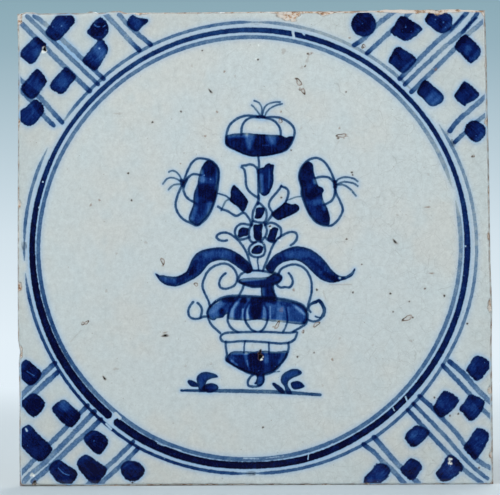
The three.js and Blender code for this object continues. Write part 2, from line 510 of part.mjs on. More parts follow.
// Darker washes, brushed over the outlines. Each is one patch of colour.
const WASHES = {
  top_flower_wash: [[-7.3, 31], [-6.4, 31.2], [-5.2, 31.5], [-3.3, 31.4], [-1.8, 31.6],
    [0.5, 31.4], [2.4, 31.5], [4.2, 31.3], [7, 31.1], [8.6, 30.9], [9.6, 30.4], [10.6, 30.9],
    [11.5, 30.7], [11, 29.2], [10.4, 27.9], [9.6, 26.9], [7, 25.8], [5, 25.4], [3, 25.2],
    [0.2, 25], [-1.5, 25.4], [-3.5, 26], [-5, 26.9], [-7.2, 28.2], [-7.5, 28.9], [-7.4, 30]],
  left_flower_wash: [[-12.6, 24.2], [-11.4, 24.1], [-10.4, 23.3], [-9.6, 22.2], [-9.2, 20.9],
    [-9.2, 19.5], [-9.7, 17.5], [-10, 15.3], [-10.3, 13.6], [-11.2, 11.5], [-12.2, 9.2],
    [-13.4, 7.8], [-15.2, 6.3], [-16.8, 7], [-17.7, 8], [-17.1, 9.5], [-16.6, 11],
    [-16, 12.4], [-15.9, 13.8], [-15.5, 15.4], [-15.1, 17], [-14.7, 18.4], [-14.6, 20.2],
    [-14.2, 21.5], [-13.8, 23]],
  right_flower_wash: [[15.4, 24], [16.4, 23.5], [16.8, 22.7], [16.8, 21.4], [17.4, 19],
    [17.8, 17.8], [18.3, 16.9], [19.2, 16.5], [19.6, 15.7], [19.2, 14.8], [19.3, 13.6],
    [20.4, 11.2], [20.9, 9.8], [21.2, 8.2], [21, 6.2], [20.2, 6], [18.6, 6.4], [17.2, 7.3],
    [16, 8.7], [15, 10.4], [14.5, 11.8], [13.8, 13.9], [13.5, 15.2], [13.5, 16.5],
    [13.1, 17.8], [12.85, 19], [12.9, 20.4], [13.4, 21.8], [14.2, 23]],
  tulip_petal: [[1.4, 20.3], [1.7, 21.7], [2.3, 21.9], [3.1, 22.3], [3.8, 23], [4.6, 23.3],
    [5.1, 23], [5.9, 22.9], [5.8, 22], [5.7, 21], [5.8, 19], [5.6, 17.6], [5.1, 16.3],
    [4.5, 15], [3.8, 14.5], [3.1, 14.3], [2.4, 14.7], [1.9, 15.4], [1.7, 17.5]],
  bud_left: [[-5.2, 17.4], [-4.6, 16.9], [-4, 16.1], [-3.2, 15.3], [-2.4, 14.6], [-1.7, 13.6],
    [-1.3, 12.7], [-1.6, 11.7], [-2.4, 10.2], [-2.9, 10.1], [-4, 11.4], [-5.5, 12.3],
    [-6.3, 13.1], [-6, 14.6], [-6.1, 15.6], [-5.6, 17]],
  bud_right: [[8.7, 12.4], [9.6, 12.2], [10.8, 11.9], [11.9, 12], [12.6, 11.5], [12.8, 11],
    [12.7, 10.3], [12.1, 9.9], [11, 9.3], [8.8, 8.2], [6.9, 7.6], [6.2, 8], [5.7, 8.7],
    [5.2, 9.2], [6.6, 10.4], [7.6, 11.3]],
  leaf_left: [[-26.9, -7], [-25.9, -7.5], [-24.8, -7.5], [-23.4, -7.8], [-21.9, -7.95],
    [-20.6, -7.7], [-19.4, -7.1], [-18.4, -6.5], [-17.9, -5.3], [-16.6, -2.8], [-15.6, -1.6],
    [-14, -0.7], [-12, -0.2], [-10, 0.05], [-8.5, 0.1], [-7, -0.3], [-5.5, -0.9], [-3, -2.5],
    [-1.2, -4.4], [-0.4, -5.4], [-0.6, -6.6], [-1.6, -7], [-2.8, -6.3], [-5, -4.6],
    [-6.2, -3.8], [-7.5, -3.3], [-9, -3.2], [-10.8, -3.5], [-12.2, -4.2], [-13.4, -5.5],
    [-14.4, -6.8], [-15.6, -7.8], [-18.6, -9.4], [-20.3, -10.1], [-22, -10.35],
    [-23.6, -10.1], [-25, -9.4], [-26, -8.4]],
  leaf_right: [[3.6, -5.6], [4.2, -4.4], [4.9, -3.3], [6, -2.2], [7.4, -1.4], [9, -0.6],
    [10.4, -0.1], [11.6, 0.2], [13.2, 0.1], [14.8, -0.4], [16.2, -0.9], [17.5, -1.9],
    [18.8, -2.9], [20.8, -5.4], [22, -6.8], [23.5, -7.9], [24.6, -8.2], [25.8, -8], [27, -7.2],
    [28, -6], [27.5, -7.4], [26.4, -8.3], [24.4, -9], [22.2, -9.65], [21, -9.6],
    [19.6, -9.2], [18.2, -8.4], [17, -7.3], [14.6, -4.9], [13.4, -4], [12.2, -3.5],
    [10.8, -3.4], [9.2, -3.7], [7.8, -4.2], [6.6, -5.1], [5.8, -6], [5, -7]],
  vase_neck_wash: [[-3.9, -9], [-3.1, -8.5], [0, -8.2], [2, -8.2], [4, -8], [5, -7.6],
    [5.8, -7.2], [7.6, -7.7], [8, -8.3], [7, -9.6], [5.7, -10.1], [5.3, -11], [5.6, -12.2],
    [6, -13.4], [6.2, -14.1], [4.6, -14.2], [2.4, -13.6], [2.1, -12.2], [2, -10.9],
    [0, -10.8], [-2.6, -10.1], [-3.7, -9.7]],
  vase_bowl_wash: [[-12.3, -17.2], [-11.2, -15.4], [-9.8, -14.3], [-8, -13.5], [-6, -13.2],
    [-3, -13.3], [0, -13.4], [3, -13.6], [6.4, -14.1], [8.4, -14.2], [10.5, -14.7],
    [12.6, -15.4], [13.7, -16], [14.4, -17], [14.8, -18.4], [14.8, -19.8], [14.2, -21],
    [12.5, -20.7], [10, -20.4], [6, -20], [4.2, -19.9], [3.4, -18.6], [2.6, -18.6],
    [2, -19.5], [0.8, -19.8], [-0.8, -19.2], [-1.6, -17.6], [-2.6, -18.4], [-3.2, -19.3],
    [-4.6, -19.6], [-5.6, -18.8], [-6.8, -18.2], [-7.8, -19.2], [-9, -19.2], [-10.4, -19.9],
    [-11.6, -19.8], [-12.3, -18.6]],
  vase_foot_wash: [[-7.7, -30.8], [-7.3, -29.9], [-6, -28.6], [-3, -28.5], [0, -28.6],
    [3, -28.4], [6, -28.7], [9.2, -28.6], [9.1, -29.6], [8.5, -30.8], [7.4, -32.2], [5, -34.2],
    [3.2, -34.8], [2.9, -35.2], [3, -36.4], [2.5, -37.5], [1.6, -38.1], [0.9, -37.8],
    [0.6, -37], [0.8, -35.6], [0.4, -34.9], [-2, -34.3], [-4, -33.3], [-6, -32.1],
    [-7.5, -31.3]],
};

const BERRIES = [
  [[0.9, 10.9], [2.6, 10.9], [3.2, 10.5], [3.1, 9.6], [2.8, 8.9], [2.2, 8.3], [0.6, 8.2],
    [0.7, 9.4]],
  [[-3.7, 5], [-2.4, 5.5], [-1.4, 5.3], [-1.6, 4.1], [-2.8, 3.1], [-3.7, 3.3], [-4, 4.3]],
  [[0.5, 6.2], [2.7, 6.2], [2.8, 4.9], [2.6, 3], [2.1, 2.2], [1, 2.2], [0.5, 3.4]],
  [[4.8, 4.7], [5.3, 5.3], [6, 5.5], [6.8, 5], [6.5, 3.6], [6, 2], [5.1, 2], [4.3, 2.5]],
  [[-0.1, -0.2], [0.6, 0.5], [1.9, 0.6], [2.6, 0], [2.3, -1.2], [1.4, -1.6], [0.2, -1.6],
    [-0.4, -1]],
];

// A thin line of ground with a tuft of grass at each side of the foot.
const GROUND = [
  line([[-20, -39.15], [-10, -39.3], [0, -39.5], [9, -39.9], [18.2, -40.6]], 1.05),
  wash([[-9.9, -35.5], [-10.3, -34.9], [-12.4, -34.2], [-13.6, -34.1], [-14.8, -34.5],
    [-15.6, -35.3], [-15.8, -36.3], [-15.5, -37.6], [-14.9, -39.4], [-13.8, -39.4],
    [-13.3, -37.2], [-12.6, -36.3], [-11.4, -35.8]]),
  wash([[-13.6, -37.7], [-12.4, -37.3], [-11.2, -37.3], [-10, -37.9], [-9.8, -38.7],
    [-11.4, -39.7], [-12.8, -39.8], [-14.4, -38.8]]),
  wash([[-18.3, -36.6], [-17.8, -36.3], [-16.8, -36.5], [-15.6, -37.3], [-15.3, -38.1],
    [-16.4, -38.2], [-17.4, -37.9], [-18.1, -37.3]]),
  wash([[13.2, -34.6], [12.9, -34], [12, -33.5], [10.6, -33.5], [9.2, -34], [8, -34.9],
    [7.4, -36], [7.6, -37.2], [8.4, -38.3], [9, -40.2], [10.4, -40.2], [9.3, -37.8],
    [9.5, -36.8], [10.2, -36.2], [11.4, -35.6], [12.6, -35.1]]),
  wash([[5, -37.4], [5.5, -37.2], [6.6, -37.8], [7.9, -38.8], [8.5, -40.1], [7.6, -40.2],
    [6.6, -39.4], [5.6, -38.4]]),
];
const GRASS_DAB = [[10.2, -37.2], [11, -36.9], [12.2, -36.8], [13.2, -37.3], [13.9, -38.2],
  [12.8, -38.8], [11.2, -39], [10.4, -38.5]];

// Nail pits, in corner squares: near the top left, bottom right and bottom left corners.
const NAILS = [
  corner([-1, 1], [[7.6, 9.5]]), corner([1, -1], [[11.4, 6.1]]), corner([-1, -1], [[3.8, 2.9]]),
].flat();

// The shapes that cut the chips, as outlines that run past the edge.
const topChip = ([from, deepest, to, depth]) => [
  [from, half + CHIP_OVERRUN], [from, half - CHIP_SHOULDER * depth], [deepest, half - depth],
  [to, half - CHIP_SHOULDER * depth], [to, half + CHIP_OVERRUN],
];
const cornerChip = [
  [-half - CHIP_OVERRUN, half - CORNER_CHIP],
  [-half + CHIP_SHOULDER * CORNER_CHIP, half - CORNER_CHIP],
  [-half + CORNER_CHIP, half - CHIP_SHOULDER * CORNER_CHIP],
  [-half + CORNER_CHIP, half + CHIP_OVERRUN],
  [-half - CHIP_OVERRUN, half + CHIP_OVERRUN],
];
const CHIPS = [cornerChip, ...TOP_CHIPS.map(topChip)];

// A nail pit as a short upright cylinder through the face.
function nailPit([x, z]) {
  const pit = new THREE.CylinderGeometry(NAIL_RADIUS, NAIL_RADIUS, 2 * NAIL_DEPTH, 10);
  pit.translate(x, -face, z);
  return solidOf(pit);
}

const pits = NAILS.map(nailPit).reduce((a, b) => a.add(b));
const chips = CHIPS.map((points) => plate(points.map(vector), CLAY_THICKNESS, 2 * GLAZE_THICKNESS))
  .reduce((a, b) => a.add(b));

// The bulge is rooted deep enough to stay joined where the side slopes in behind it.
const bulgeOutline = [
  [BULGE.at(-1)[0], half - BULGE_ROOT], [BULGE[0][0], half - BULGE_ROOT],
  ...BULGE.map(([x, rise]) => [x, half + rise]),
];
const bulge = plate(bulgeOutline.map(vector), BULGE_BACK, BULGE_THICKNESS);

const clayBody = slab([
  [0, half - BACK_INSET, CORNER_RADIUS],
  [-CLAY_THICKNESS, half, CORNER_RADIUS],
]).add(bulge).subtract(pits);

const glazeBend = GLAZE_EDGE_RADIUS * Math.SQRT1_2;
const tinGlaze = slab([
  [-CLAY_THICKNESS, half, CORNER_RADIUS],
  [-face + GLAZE_EDGE_RADIUS, half, CORNER_RADIUS],
  [-face + GLAZE_EDGE_RADIUS - glazeBend, half - GLAZE_EDGE_RADIUS + glazeBend, CORNER_RADIUS],
  [-face, half - GLAZE_EDGE_RADIUS, CORNER_RADIUS],
]).subtract(pits).subtract(chips);

const tile = new THREE.Group();
tile.add(meshOf("clay_body", clayBody, clay));
tile.add(meshOf("tin_glaze", tinGlaze, glaze));

// Paint only goes on the flat of the glaze: not past its rounded edge, in a chip or in a pit.
const flatHalf = half - GLAZE_EDGE_RADIUS;
const flatFace = plate(squareOutline(flatHalf, CORNER_RADIUS), face, GLAZE_THICKNESS * 2)
  .subtract(chips.translate([0, -GLAZE_THICKNESS, 0]))
  .subtract(pits);

const laid = [];

// Lays one painted mark on the face. Where it crosses older marks it lies on top of them, so it
// is a coat thicker than the thickest of them and is hollowed out to fit over them.
function layMark(name, shapes, material) {
  const column = (coats) =>
    shapes.map(({ outline, hole }) => plate(outline, face, coats * PAINT_COAT, hole))
      .reduce((a, b) => a.add(b)).intersect(flatFace);
  const first = column(1);
  const under = laid.filter((mark) => first.intersect(mark.solid).volume() > 0);
  const coats = 1 + Math.max(0, ...under.map((mark) => mark.coats));
  const full = column(coats);
  const fitted = under.reduce((solid, mark) => solid.subtract(mark.solid), full);
  laid.push({ solid: full, coats });
  tile.add(meshOf(name, fitted, material));
}

for (const name of Object.keys(CORNERS)) {
  layMark(`corner_lines_${name}`, cornerLines(name), paleBlue);
}
layMark("ring_inner_line", [fullRing(ringRadius - INNER_LINE_GAP, FINE_LINE_WIDTH)], paleBlue);
const [gapStart, gapEnd] = WORN_GAP;
layMark(
  "ring_main_band", [arc(ringRadius, BAND_WIDTH, gapEnd - FULL_TURN, gapStart)], darkBlue,
);

for (const [name, { signs, dabs }] of Object.entries(CORNERS)) {
  dabs.forEach((points, i) => {
    layMark(`dab_${name}_${i + 1}`, [patch(corner(signs, points))], darkBlue);
  });
}

layMark(
  "bouquet_outlines",
  [TOP_FLOWER, TULIP, BERRY_OUTLINES, STEMS, BUD_OUTLINES, LEFT_FLOWER, RIGHT_FLOWER].flat(),
  midBlue,
);
layMark("vase_outlines", [...VASE, ...HANDLES], midBlue);
for (const [name, points] of Object.entries(WASHES)) {
  layMark(name, [wash(points)], darkBlue);
}
BERRIES.forEach((points, i) => layMark(`berry_${i + 1}`, [wash(points)], darkBlue));
layMark("ground_and_grass", GROUND, midBlue);
layMark("grass_dab_right", [wash(GRASS_DAB)], darkBlue);

export default tile;
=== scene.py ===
# %% [markdown]
# # A tin-glazed wall tile, painted in cobalt blue
#
# The real tile is a slab of buff earthenware, dipped in a white tin glaze, painted with cobalt
# on the raw glaze and fired once more. Its face is 130 mm square and it is 8 mm thick.
#
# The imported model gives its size, its place and its plain solids. This script dresses them: a
# rough clay body with a chipped edge, a slightly wavy glaze, and brush strokes that lie on it.
# Everything below is worked out in millimetres and turned into metres when a mesh is made.

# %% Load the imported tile
import math

import bmesh
import bpy
import numpy as np
from mathutils import Matrix, Vector
from mathutils import noise as perlin
from mathutils.geometry import delaunay_2d_cdt


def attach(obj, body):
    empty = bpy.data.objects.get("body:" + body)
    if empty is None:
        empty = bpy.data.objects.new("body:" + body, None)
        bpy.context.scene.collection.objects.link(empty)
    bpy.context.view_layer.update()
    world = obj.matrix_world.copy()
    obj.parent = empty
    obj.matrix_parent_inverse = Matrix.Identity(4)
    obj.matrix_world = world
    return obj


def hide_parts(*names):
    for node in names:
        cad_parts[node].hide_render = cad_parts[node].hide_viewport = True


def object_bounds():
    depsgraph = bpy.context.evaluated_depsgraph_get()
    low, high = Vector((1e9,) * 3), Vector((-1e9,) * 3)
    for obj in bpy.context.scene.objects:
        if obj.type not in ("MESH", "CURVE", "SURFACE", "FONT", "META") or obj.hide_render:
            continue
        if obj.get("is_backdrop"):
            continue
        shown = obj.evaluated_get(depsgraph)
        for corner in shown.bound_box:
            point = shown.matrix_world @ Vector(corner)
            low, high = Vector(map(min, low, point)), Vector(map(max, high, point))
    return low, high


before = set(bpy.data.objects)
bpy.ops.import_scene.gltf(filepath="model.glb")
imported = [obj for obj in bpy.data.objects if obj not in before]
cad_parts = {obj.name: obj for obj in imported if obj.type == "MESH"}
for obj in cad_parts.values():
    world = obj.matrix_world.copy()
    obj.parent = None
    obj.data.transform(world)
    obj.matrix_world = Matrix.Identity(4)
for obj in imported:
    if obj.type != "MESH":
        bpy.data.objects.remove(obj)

MM = 0.001
cad_low, cad_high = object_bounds()
print("packed box, mm:", [round(v / MM, 2) for v in (*cad_low, *cad_high)])
print("packed nodes:", len(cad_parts))

# %% [markdown]
# ## Camera
#
# A long lens stands 600 mm in front of the painted face, a little to the right of the middle and
# a little below it, and it is turned by a third of a degree. A matrix made of the camera's own
# right, up and back directions holds all of that at once, which is easier to get right than
# three angles that are applied one after another.

# %% Camera
PICTURE_WIDTH = 500  # pixels across the finished picture
FOCAL_LENGTH = 2175.6  # in those pixels
SENSOR_WIDTH = 36.0
CAMERA_DISTANCE = 600.0
AZIMUTH, ELEVATION, ROLL = (math.radians(a) for a in (1.52, -2.38, -0.38))
AIM = Vector((-0.84, -7.9, 0.09))

back = Vector((
    math.sin(AZIMUTH) * math.cos(ELEVATION),
    -math.cos(AZIMUTH) * math.cos(ELEVATION),
    math.sin(ELEVATION),
))
level_right = Vector((0, 0, 1)).cross(back).normalized()
level_up = back.cross(level_right)
right = math.cos(ROLL) * level_right + math.sin(ROLL) * level_up
up = math.cos(ROLL) * level_up - math.sin(ROLL) * level_right

lens = bpy.data.cameras.new("camera")
lens.sensor_width = SENSOR_WIDTH
lens.lens = FOCAL_LENGTH * SENSOR_WIDTH / PICTURE_WIDTH
lens.clip_start, lens.clip_end = 0.01, 20
camera = bpy.data.objects.new("camera", lens)
camera.matrix_world = (
    Matrix.Translation((AIM + back * CAMERA_DISTANCE) * MM)
    @ Matrix((right, up, back)).transposed().to_4x4()
)
bpy.context.scene.collection.objects.link(camera)
bpy.context.scene.camera = camera
print("lens, mm:", round(lens.lens, 1), "at", [round(v, 1) for v in camera.location / MM])

# %% [markdown]
# ## Floor, lamps and sky
#
# The tile stands on a plain pale floor in soft studio light. One large lamp from the upper left
# and a weaker one from the right light the glaze evenly, and a grey sky fills the shadows. What
# the camera sees of the sky is a plain backdrop that is paler low down. Light Path shows it to
# the camera and in reflections only, so it can be pale without putting more light on the tile.
# The side of the studio that the tile faces is dark, which keeps the dark blues deep under gloss.

# %% Helpers for node trees
def add_node(tree, kind, inputs=(), **settings):
    """Adds a node, sets its properties, and sets or links its inputs by name or number."""
    node = tree.nodes.new(kind)
    for key, value in settings.items():
        setattr(node, key, value)
    for key, value in dict(inputs).items():
        socket = node.inputs[key]
        if isinstance(value, bpy.types.NodeSocket):
            tree.links.new(value, socket)
        else:
            socket.default_value = value
    return node


def new_material(name):
    """An empty material with its output node."""
    material = bpy.data.materials.new(name)
    material.use_nodes = True
    material.node_tree.nodes.clear()
    return material, material.node_tree, add_node(material.node_tree, "ShaderNodeOutputMaterial")


def srgb(red, green, blue):
    """A colour as it is read off a picture, 0 to 255, in Blender's linear numbers."""
    return tuple(((c / 255 + 0.055) / 1.055) ** 2.4 for c in (red, green, blue)) + (1,)


def math_node(tree, operation, a, b=0.0, c=0.0):
    return add_node(tree, "ShaderNodeMath", {0: a, 1: b, 2: c}, operation=operation).outputs[0]


def times(tree, a, b):
    return math_node(tree, "MULTIPLY", a, b)


def times_plus(tree, a, b, c):
    """a times b, plus c."""
    return math_node(tree, "MULTIPLY_ADD", a, b, c)


def xyz(tree, vector):
    """The three numbers of a vector, by the names X, Y and Z."""
    return add_node(tree, "ShaderNodeSeparateXYZ", {0: vector}).outputs


def far_off(tree, place):
    """How far a place is from the tile's middle."""
    return add_node(tree, "ShaderNodeVectorMath", {0: place}, operation="LENGTH").outputs["Value"]


def step_between(tree, value, low, high, out_low=0.0, out_high=1.0):
    """A soft step from one number to another while value goes from low to high."""
    return add_node(tree, "ShaderNodeMapRange", {
        "Value": value, "From Min": low, "From Max": high, "To Min": out_low, "To Max": out_high},
        interpolation_type="SMOOTHSTEP").outputs["Result"]


def colour_ramp(tree, value, stops):
    """Colours at given places of a ramp from 0 to 1."""
    ramp = add_node(tree, "ShaderNodeValToRGB", {"Fac": value})
    while len(ramp.color_ramp.elements) < len(stops):
        ramp.color_ramp.elements.new(0.5)
    for element, (place, shade) in zip(ramp.color_ramp.elements, stops):
        element.position, element.color = place, srgb(*shade)
    return ramp.outputs["Color"]


print("helpers ready")

# %% Sky
BACKDROP = [(0.0, (228, 240, 248)), (0.25, (211, 226, 235)), (0.7, (150, 178, 190)),
            (0.85, (134, 167, 179)), (1.0, (128, 160, 172))]
BACKDROP_TOP = 0.19  # sine of the angle above the floor where the backdrop is darkest
DARK_SIDE = 0.03  # what is left of it in reflections of the side that the tile faces
SKY_LIGHT = (0.96, 0.985, 1.0, 1)
SKY_STRENGTH = 0.44


def seen_share(tree, toward_face):
    """How much of the backdrop a ray sees: all for the camera, little in front for a glossy ray."""
    rays = add_node(tree, "ShaderNodeLightPath").outputs
    glossy = times(tree, rays["Is Glossy Ray"],
                       step_between(tree, toward_face, -0.1, 0.1, DARK_SIDE, 1.0))
    seen = math_node(tree, "MAXIMUM", rays["Is Camera Ray"], rays["Is Transmission Ray"])
    return math_node(tree, "MAXIMUM", seen, glossy), seen, rays["Is Glossy Ray"]


world = bpy.data.worlds.new("sky")
world.use_nodes = True
world.node_tree.nodes.clear()
bpy.context.scene.world = world
tree = world.node_tree
way = xyz(tree, add_node(tree, "ShaderNodeTexCoord").outputs["Generated"])
share, seen, glossy = seen_share(tree, way["Y"])
lighting = add_node(tree, "ShaderNodeBackground", {"Color": SKY_LIGHT, "Strength": SKY_STRENGTH})
backdrop = add_node(tree, "ShaderNodeBackground", {
    "Color": colour_ramp(tree, math_node(tree, "DIVIDE", way["Z"], BACKDROP_TOP), BACKDROP),
    "Strength": share})
both = add_node(tree, "ShaderNodeMixShader", {
    0: math_node(tree, "MAXIMUM", seen, glossy), 1: lighting.outputs[0], 2: backdrop.outputs[0]})
tree.links.new(both.outputs[0], add_node(tree, "ShaderNodeOutputWorld").inputs["Surface"])
bpy.context.scene.view_settings.view_transform = "Standard"
print("sky light:", SKY_STRENGTH)

# %% Floor
FLOOR_RADIUS = 4.0
FLOOR_SIDES = 96
FLOOR_COLOUR = (0.70, 0.79, 0.84, 1)
FLOOR_FADE = (0.25, 1.3)  # metres from the tile where the floor runs into the backdrop

floor_material, tree, output = new_material("studio_floor")
coordinates = add_node(tree, "ShaderNodeTexCoord").outputs["Object"]
grain = add_node(tree, "ShaderNodeTexNoise", {"Vector": coordinates, "Scale": 900.0})
grain_bump = add_node(tree, "ShaderNodeBump", {"Height": grain.outputs["Fac"], "Strength": 0.03,
                                               "Distance": 0.0002})
near = add_node(tree, "ShaderNodeBsdfPrincipled", {
    "Base Color": FLOOR_COLOUR, "Roughness": 0.7, "Normal": grain_bump.outputs["Normal"]})
place = xyz(tree, coordinates)
away = far_off(tree, coordinates)
share, seen, glossy = seen_share(tree, place["Y"])
in_front = times(tree, glossy, step_between(tree, place["Y"], -0.03, 0.03, 1, 0))
far = add_node(tree, "ShaderNodeEmission", {"Color": srgb(*BACKDROP[0][1]), "Strength": share})
open_floor = times(tree, math_node(tree, "MAXIMUM", seen, glossy),
                   step_between(tree, away, *FLOOR_FADE))
mixed = add_node(tree, "ShaderNodeMixShader", {
    0: math_node(tree, "MAXIMUM", in_front, open_floor), 1: near.outputs[0], 2: far.outputs[0]})
tree.links.new(mixed.outputs[0], output.inputs["Surface"])

floor_mesh = bpy.data.meshes.new("floor")
floor_bmesh = bmesh.new()
bmesh.ops.create_circle(floor_bmesh, cap_ends=True, segments=FLOOR_SIDES, radius=FLOOR_RADIUS,
                        matrix=Matrix.Translation((0, 0, cad_low.z)))
floor_bmesh.to_mesh(floor_mesh)
floor_bmesh.free()
floor_mesh.materials.append(floor_material)
floor = bpy.data.objects.new("floor", floor_mesh)
bpy.context.scene.collection.objects.link(floor)
floor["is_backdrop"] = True
print("floor at z =", round(cad_low.z / MM, 2), "mm")

# %% Lamps
LAMPS = [  # name, place and what it looks at in metres, width in metres, power in watts
    ("key_lamp", (-0.75, -1.15, 0.95), (0, 0, 0), 0.9, 14.8),
    ("fill_lamp", (1.1, -1.1, 0.35), (0, 0, 0), 0.9, 6.4),
    ("back_lamp", (0.3, 1.3, 0.9), (0, 0, 0), 0.8, 7.0),
]

for name, place, target, width, power in LAMPS:
    lamp_data = bpy.data.lights.new(name, "AREA")
    lamp_data.size = width
    lamp_data.energy = power
    lamp = bpy.data.objects.new(name, lamp_data)
    lamp.location = place
    lamp.rotation_euler = (Vector(target) - Vector(place)).to_track_quat("-Z", "Y").to_euler()
    bpy.context.scene.collection.objects.link(lamp)
print("lamps:", len(LAMPS))

# %% [markdown]
# ## The brush
#
# A painter's mark is either a stroke along a line or a patch that fills an outline. Both could be
# meshes of their own, but strokes cross and washes run over outlines, and where two blues meet
# they have to darken together. So each mark is first worked out on one fine grid of points over
# the face: how far inside its edge a point lies, and how strong the blue is there. Grids add up
# easily. The meshes are cut from them afterwards and carry these numbers as attributes.

# %% A smooth line through a few points
GRID_STEP = 0.1  # between the points where the painting is worked out
GRID_REACH = 66.0  # from the middle of the face to the edge of the grid
GRID_COUNT = round(2 * GRID_REACH / GRID_STEP) + 1
BLEED_REACH = 1.9  # how far from a mark its colour is followed into the glaze
LINE_STEP = 0.4
FAR = -9.0  # stands for a place that is nowhere near a mark


def smooth(rows, closed=False):
    """A centripetal Catmull-Rom curve. The first two columns are x and z, others go along."""
    rows = np.array(rows, float)
    if closed:
        ring = np.vstack([rows[-1:], rows, rows[:2]])
    else:
        ring = np.vstack([2 * rows[:1] - rows[1:2], rows, 2 * rows[-1:] - rows[-2:-1]])
    found = []
    for a, b, c, d in zip(ring, ring[1:], ring[2:], ring[3:]):
        ab, bc, cd = (max(math.sqrt(math.dist(p[:2], q[:2])), 1e-3)
                      for p, q in ((a, b), (b, c), (c, d)))
        leave = bc * ((b - a) / ab - (c - a) / (ab + bc) + (c - b) / bc)
        arrive = bc * ((c - b) / bc - (d - b) / (bc + cd) + (d - c) / cd)
        count = max(1, math.ceil(bc * bc / LINE_STEP))
        t = np.arange(count)[:, None] / count
        found.append((2 * t**3 - 3 * t**2 + 1) * b + (t**3 - 2 * t**2 + t) * leave
                     + (3 * t**2 - 2 * t**3) * c + (t**3 - t**2) * arrive)
    if not closed:
        found.append(rows[-1:])
    return np.vstack(found)


def window(points, margin):
    """The part of the grid that holds the points: its slices, and its x and z."""
    low = np.clip((np.min(points, axis=0) - margin + GRID_REACH) / GRID_STEP, 0, GRID_COUNT - 2)
    high = np.clip((np.max(points, axis=0) + margin + GRID_REACH) / GRID_STEP, 2, GRID_COUNT)
    (i0, j0), (i1, j1) = low.astype(int), np.ceil(high).astype(int)
    x = (np.arange(i0, i1) * GRID_STEP - GRID_REACH)[None, :]
    z = (np.arange(j0, j1) * GRID_STEP - GRID_REACH)[:, None]
    return (slice(j0, j1), slice(i0, i1)), x, z


print("grid points:", GRID_COUNT**2)

# %% Strokes and patches on the grid
OUTLINE_WIDTH = 0.68
OUTLINE_TONE = 0.63
TOUCH_SOFTNESS = 0.28  # of a touch's own width
PATCH_TONE = 0.85
PATCH_GROWTH = 0.05  # how far a filled patch spread past its drawn outline
POOL_LENGTH = 1.2  # a drop at a stroke's end is full for half of this, then fades over it


def smooth_step(t):
    """Nought below 0, one above 1, and a soft step between."""
    t = np.clip(t, 0, 1)
    return t * t * (3 - 2 * t)


def column(value, count):
    """One value, or one for each point, as a column."""
    return np.broadcast_to(np.array(value, float).reshape(-1, 1), (count, 1))


def line(points, width=OUTLINE_WIDTH, tone=OUTLINE_TONE, closed=False, pool=0):
    """A stroke. Its width and tone may change from point to point, and its end may be pooled."""
    points = np.array(points, float)
    rows = np.hstack([points, column(width, len(points)), column(tone, len(points))])
    rows = smooth(rows, closed) if len(points) > 1 else np.vstack([rows, rows])
    if pool:  # the brush was lifted here and left a darker drop
        gap = np.hypot(*(rows[:, :2] - rows[-1, :2]).T)
        drop = np.clip(1.5 - gap / POOL_LENGTH, 0, 1)
        rows[:, 3] += (pool - rows[:, 3]) * drop
    if closed:
        rows = np.vstack([rows, rows[:1]])
    where, x, z = window(rows[:, :2], BLEED_REACH)
    edge = np.full((z.size, x.size), FAR, np.float32)
    tones = np.zeros_like(edge)
    for a, b in zip(rows, rows[1:]):
        reach = BLEED_REACH + max(a[2], b[2]) / 2
        i = slice(*np.searchsorted(x[0], (min(a[0], b[0]) - reach, max(a[0], b[0]) + reach)))
        j = slice(*np.searchsorted(z[:, 0], (min(a[1], b[1]) - reach, max(a[1], b[1]) + reach)))
        dx, dz = b[0] - a[0], b[1] - a[1]
        px, pz = x[:, i] - a[0], z[j] - a[1]
        t = np.clip((px * dx + pz * dz) / max(dx * dx + dz * dz, 1e-9), 0, 1)
        inside = (a[2] + (b[2] - a[2]) * t) / 2 - np.hypot(px - t * dx, pz - t * dz)
        nearer = inside > edge[j, i]
        edge[j, i][nearer] = inside[nearer]
        tones[j, i][nearer] = (a[3] + (b[3] - a[3]) * t)[nearer]
    return where, edge, tones


def patch(points, tone=PATCH_TONE, grow=PATCH_GROWTH, touches=()):
    """A filled outline. Touches are (points, width, change of tone) inside it."""
    ring = smooth(points, closed=True)
    where, x, z = window(ring, BLEED_REACH)
    gap = np.full((z.size, x.size), np.inf, np.float32)
    inside = np.zeros(gap.shape, bool)
    for (ax, az), (bx, bz) in zip(ring, np.roll(ring, -1, axis=0)):
        dx, dz = bx - ax, bz - az
        t = np.clip(((x - ax) * dx + (z - az) * dz) / max(dx * dx + dz * dz, 1e-9), 0, 1)
        gap = np.minimum(gap, np.hypot(x - ax - t * dx, z - az - t * dz))
        if az != bz:
            inside ^= ((az > z) != (bz > z)) & (x < dx * (z - az) / dz + ax)
    edge = np.where(inside, gap, -gap).astype(np.float32) + grow
    tones = np.full(edge.shape, tone, np.float32)
    for points, width, change in touches:
        (rows, columns), deep, _ = line(points, width)
        j, i = (np.array([max(a.start, b.start), min(a.stop, b.stop)])
                for a, b in ((rows, where[0]), (columns, where[1])))
        if j[0] < j[1] and i[0] < i[1]:
            own = (slice(*(j - where[0].start)), slice(*(i - where[1].start)))
            deep = deep[slice(*(j - rows.start)), slice(*(i - columns.start))]
            soft = TOUCH_SOFTNESS * np.max(width)
            tones[own] += change * smooth_step(0.5 + deep / (2 * soft))
    return where, edge, np.clip(tones, 0.02, 1)


# %% [markdown]
# The whole painting gathers in four grids. `paint_edge` is the distance inside the nearest mark,
# below zero outside. `paint_clear` is the share of light that all coats together let through, so
# crossing strokes darken as glass does. `near_tone` keeps the nearest mark's strength just beyond
# its edge, and `bleed_clear` follows the faint blue that runs into the molten glaze around it.

# %% Gathering the marks
BLEED_LENGTH = 0.52  # over this distance the blue in the glaze round a mark falls to a third
COAT_SOFTNESS = 0.3  # width of the soft edge of one coat
WORN_BLEED = 0.6  # share of that blue which goes where the paint has worn away

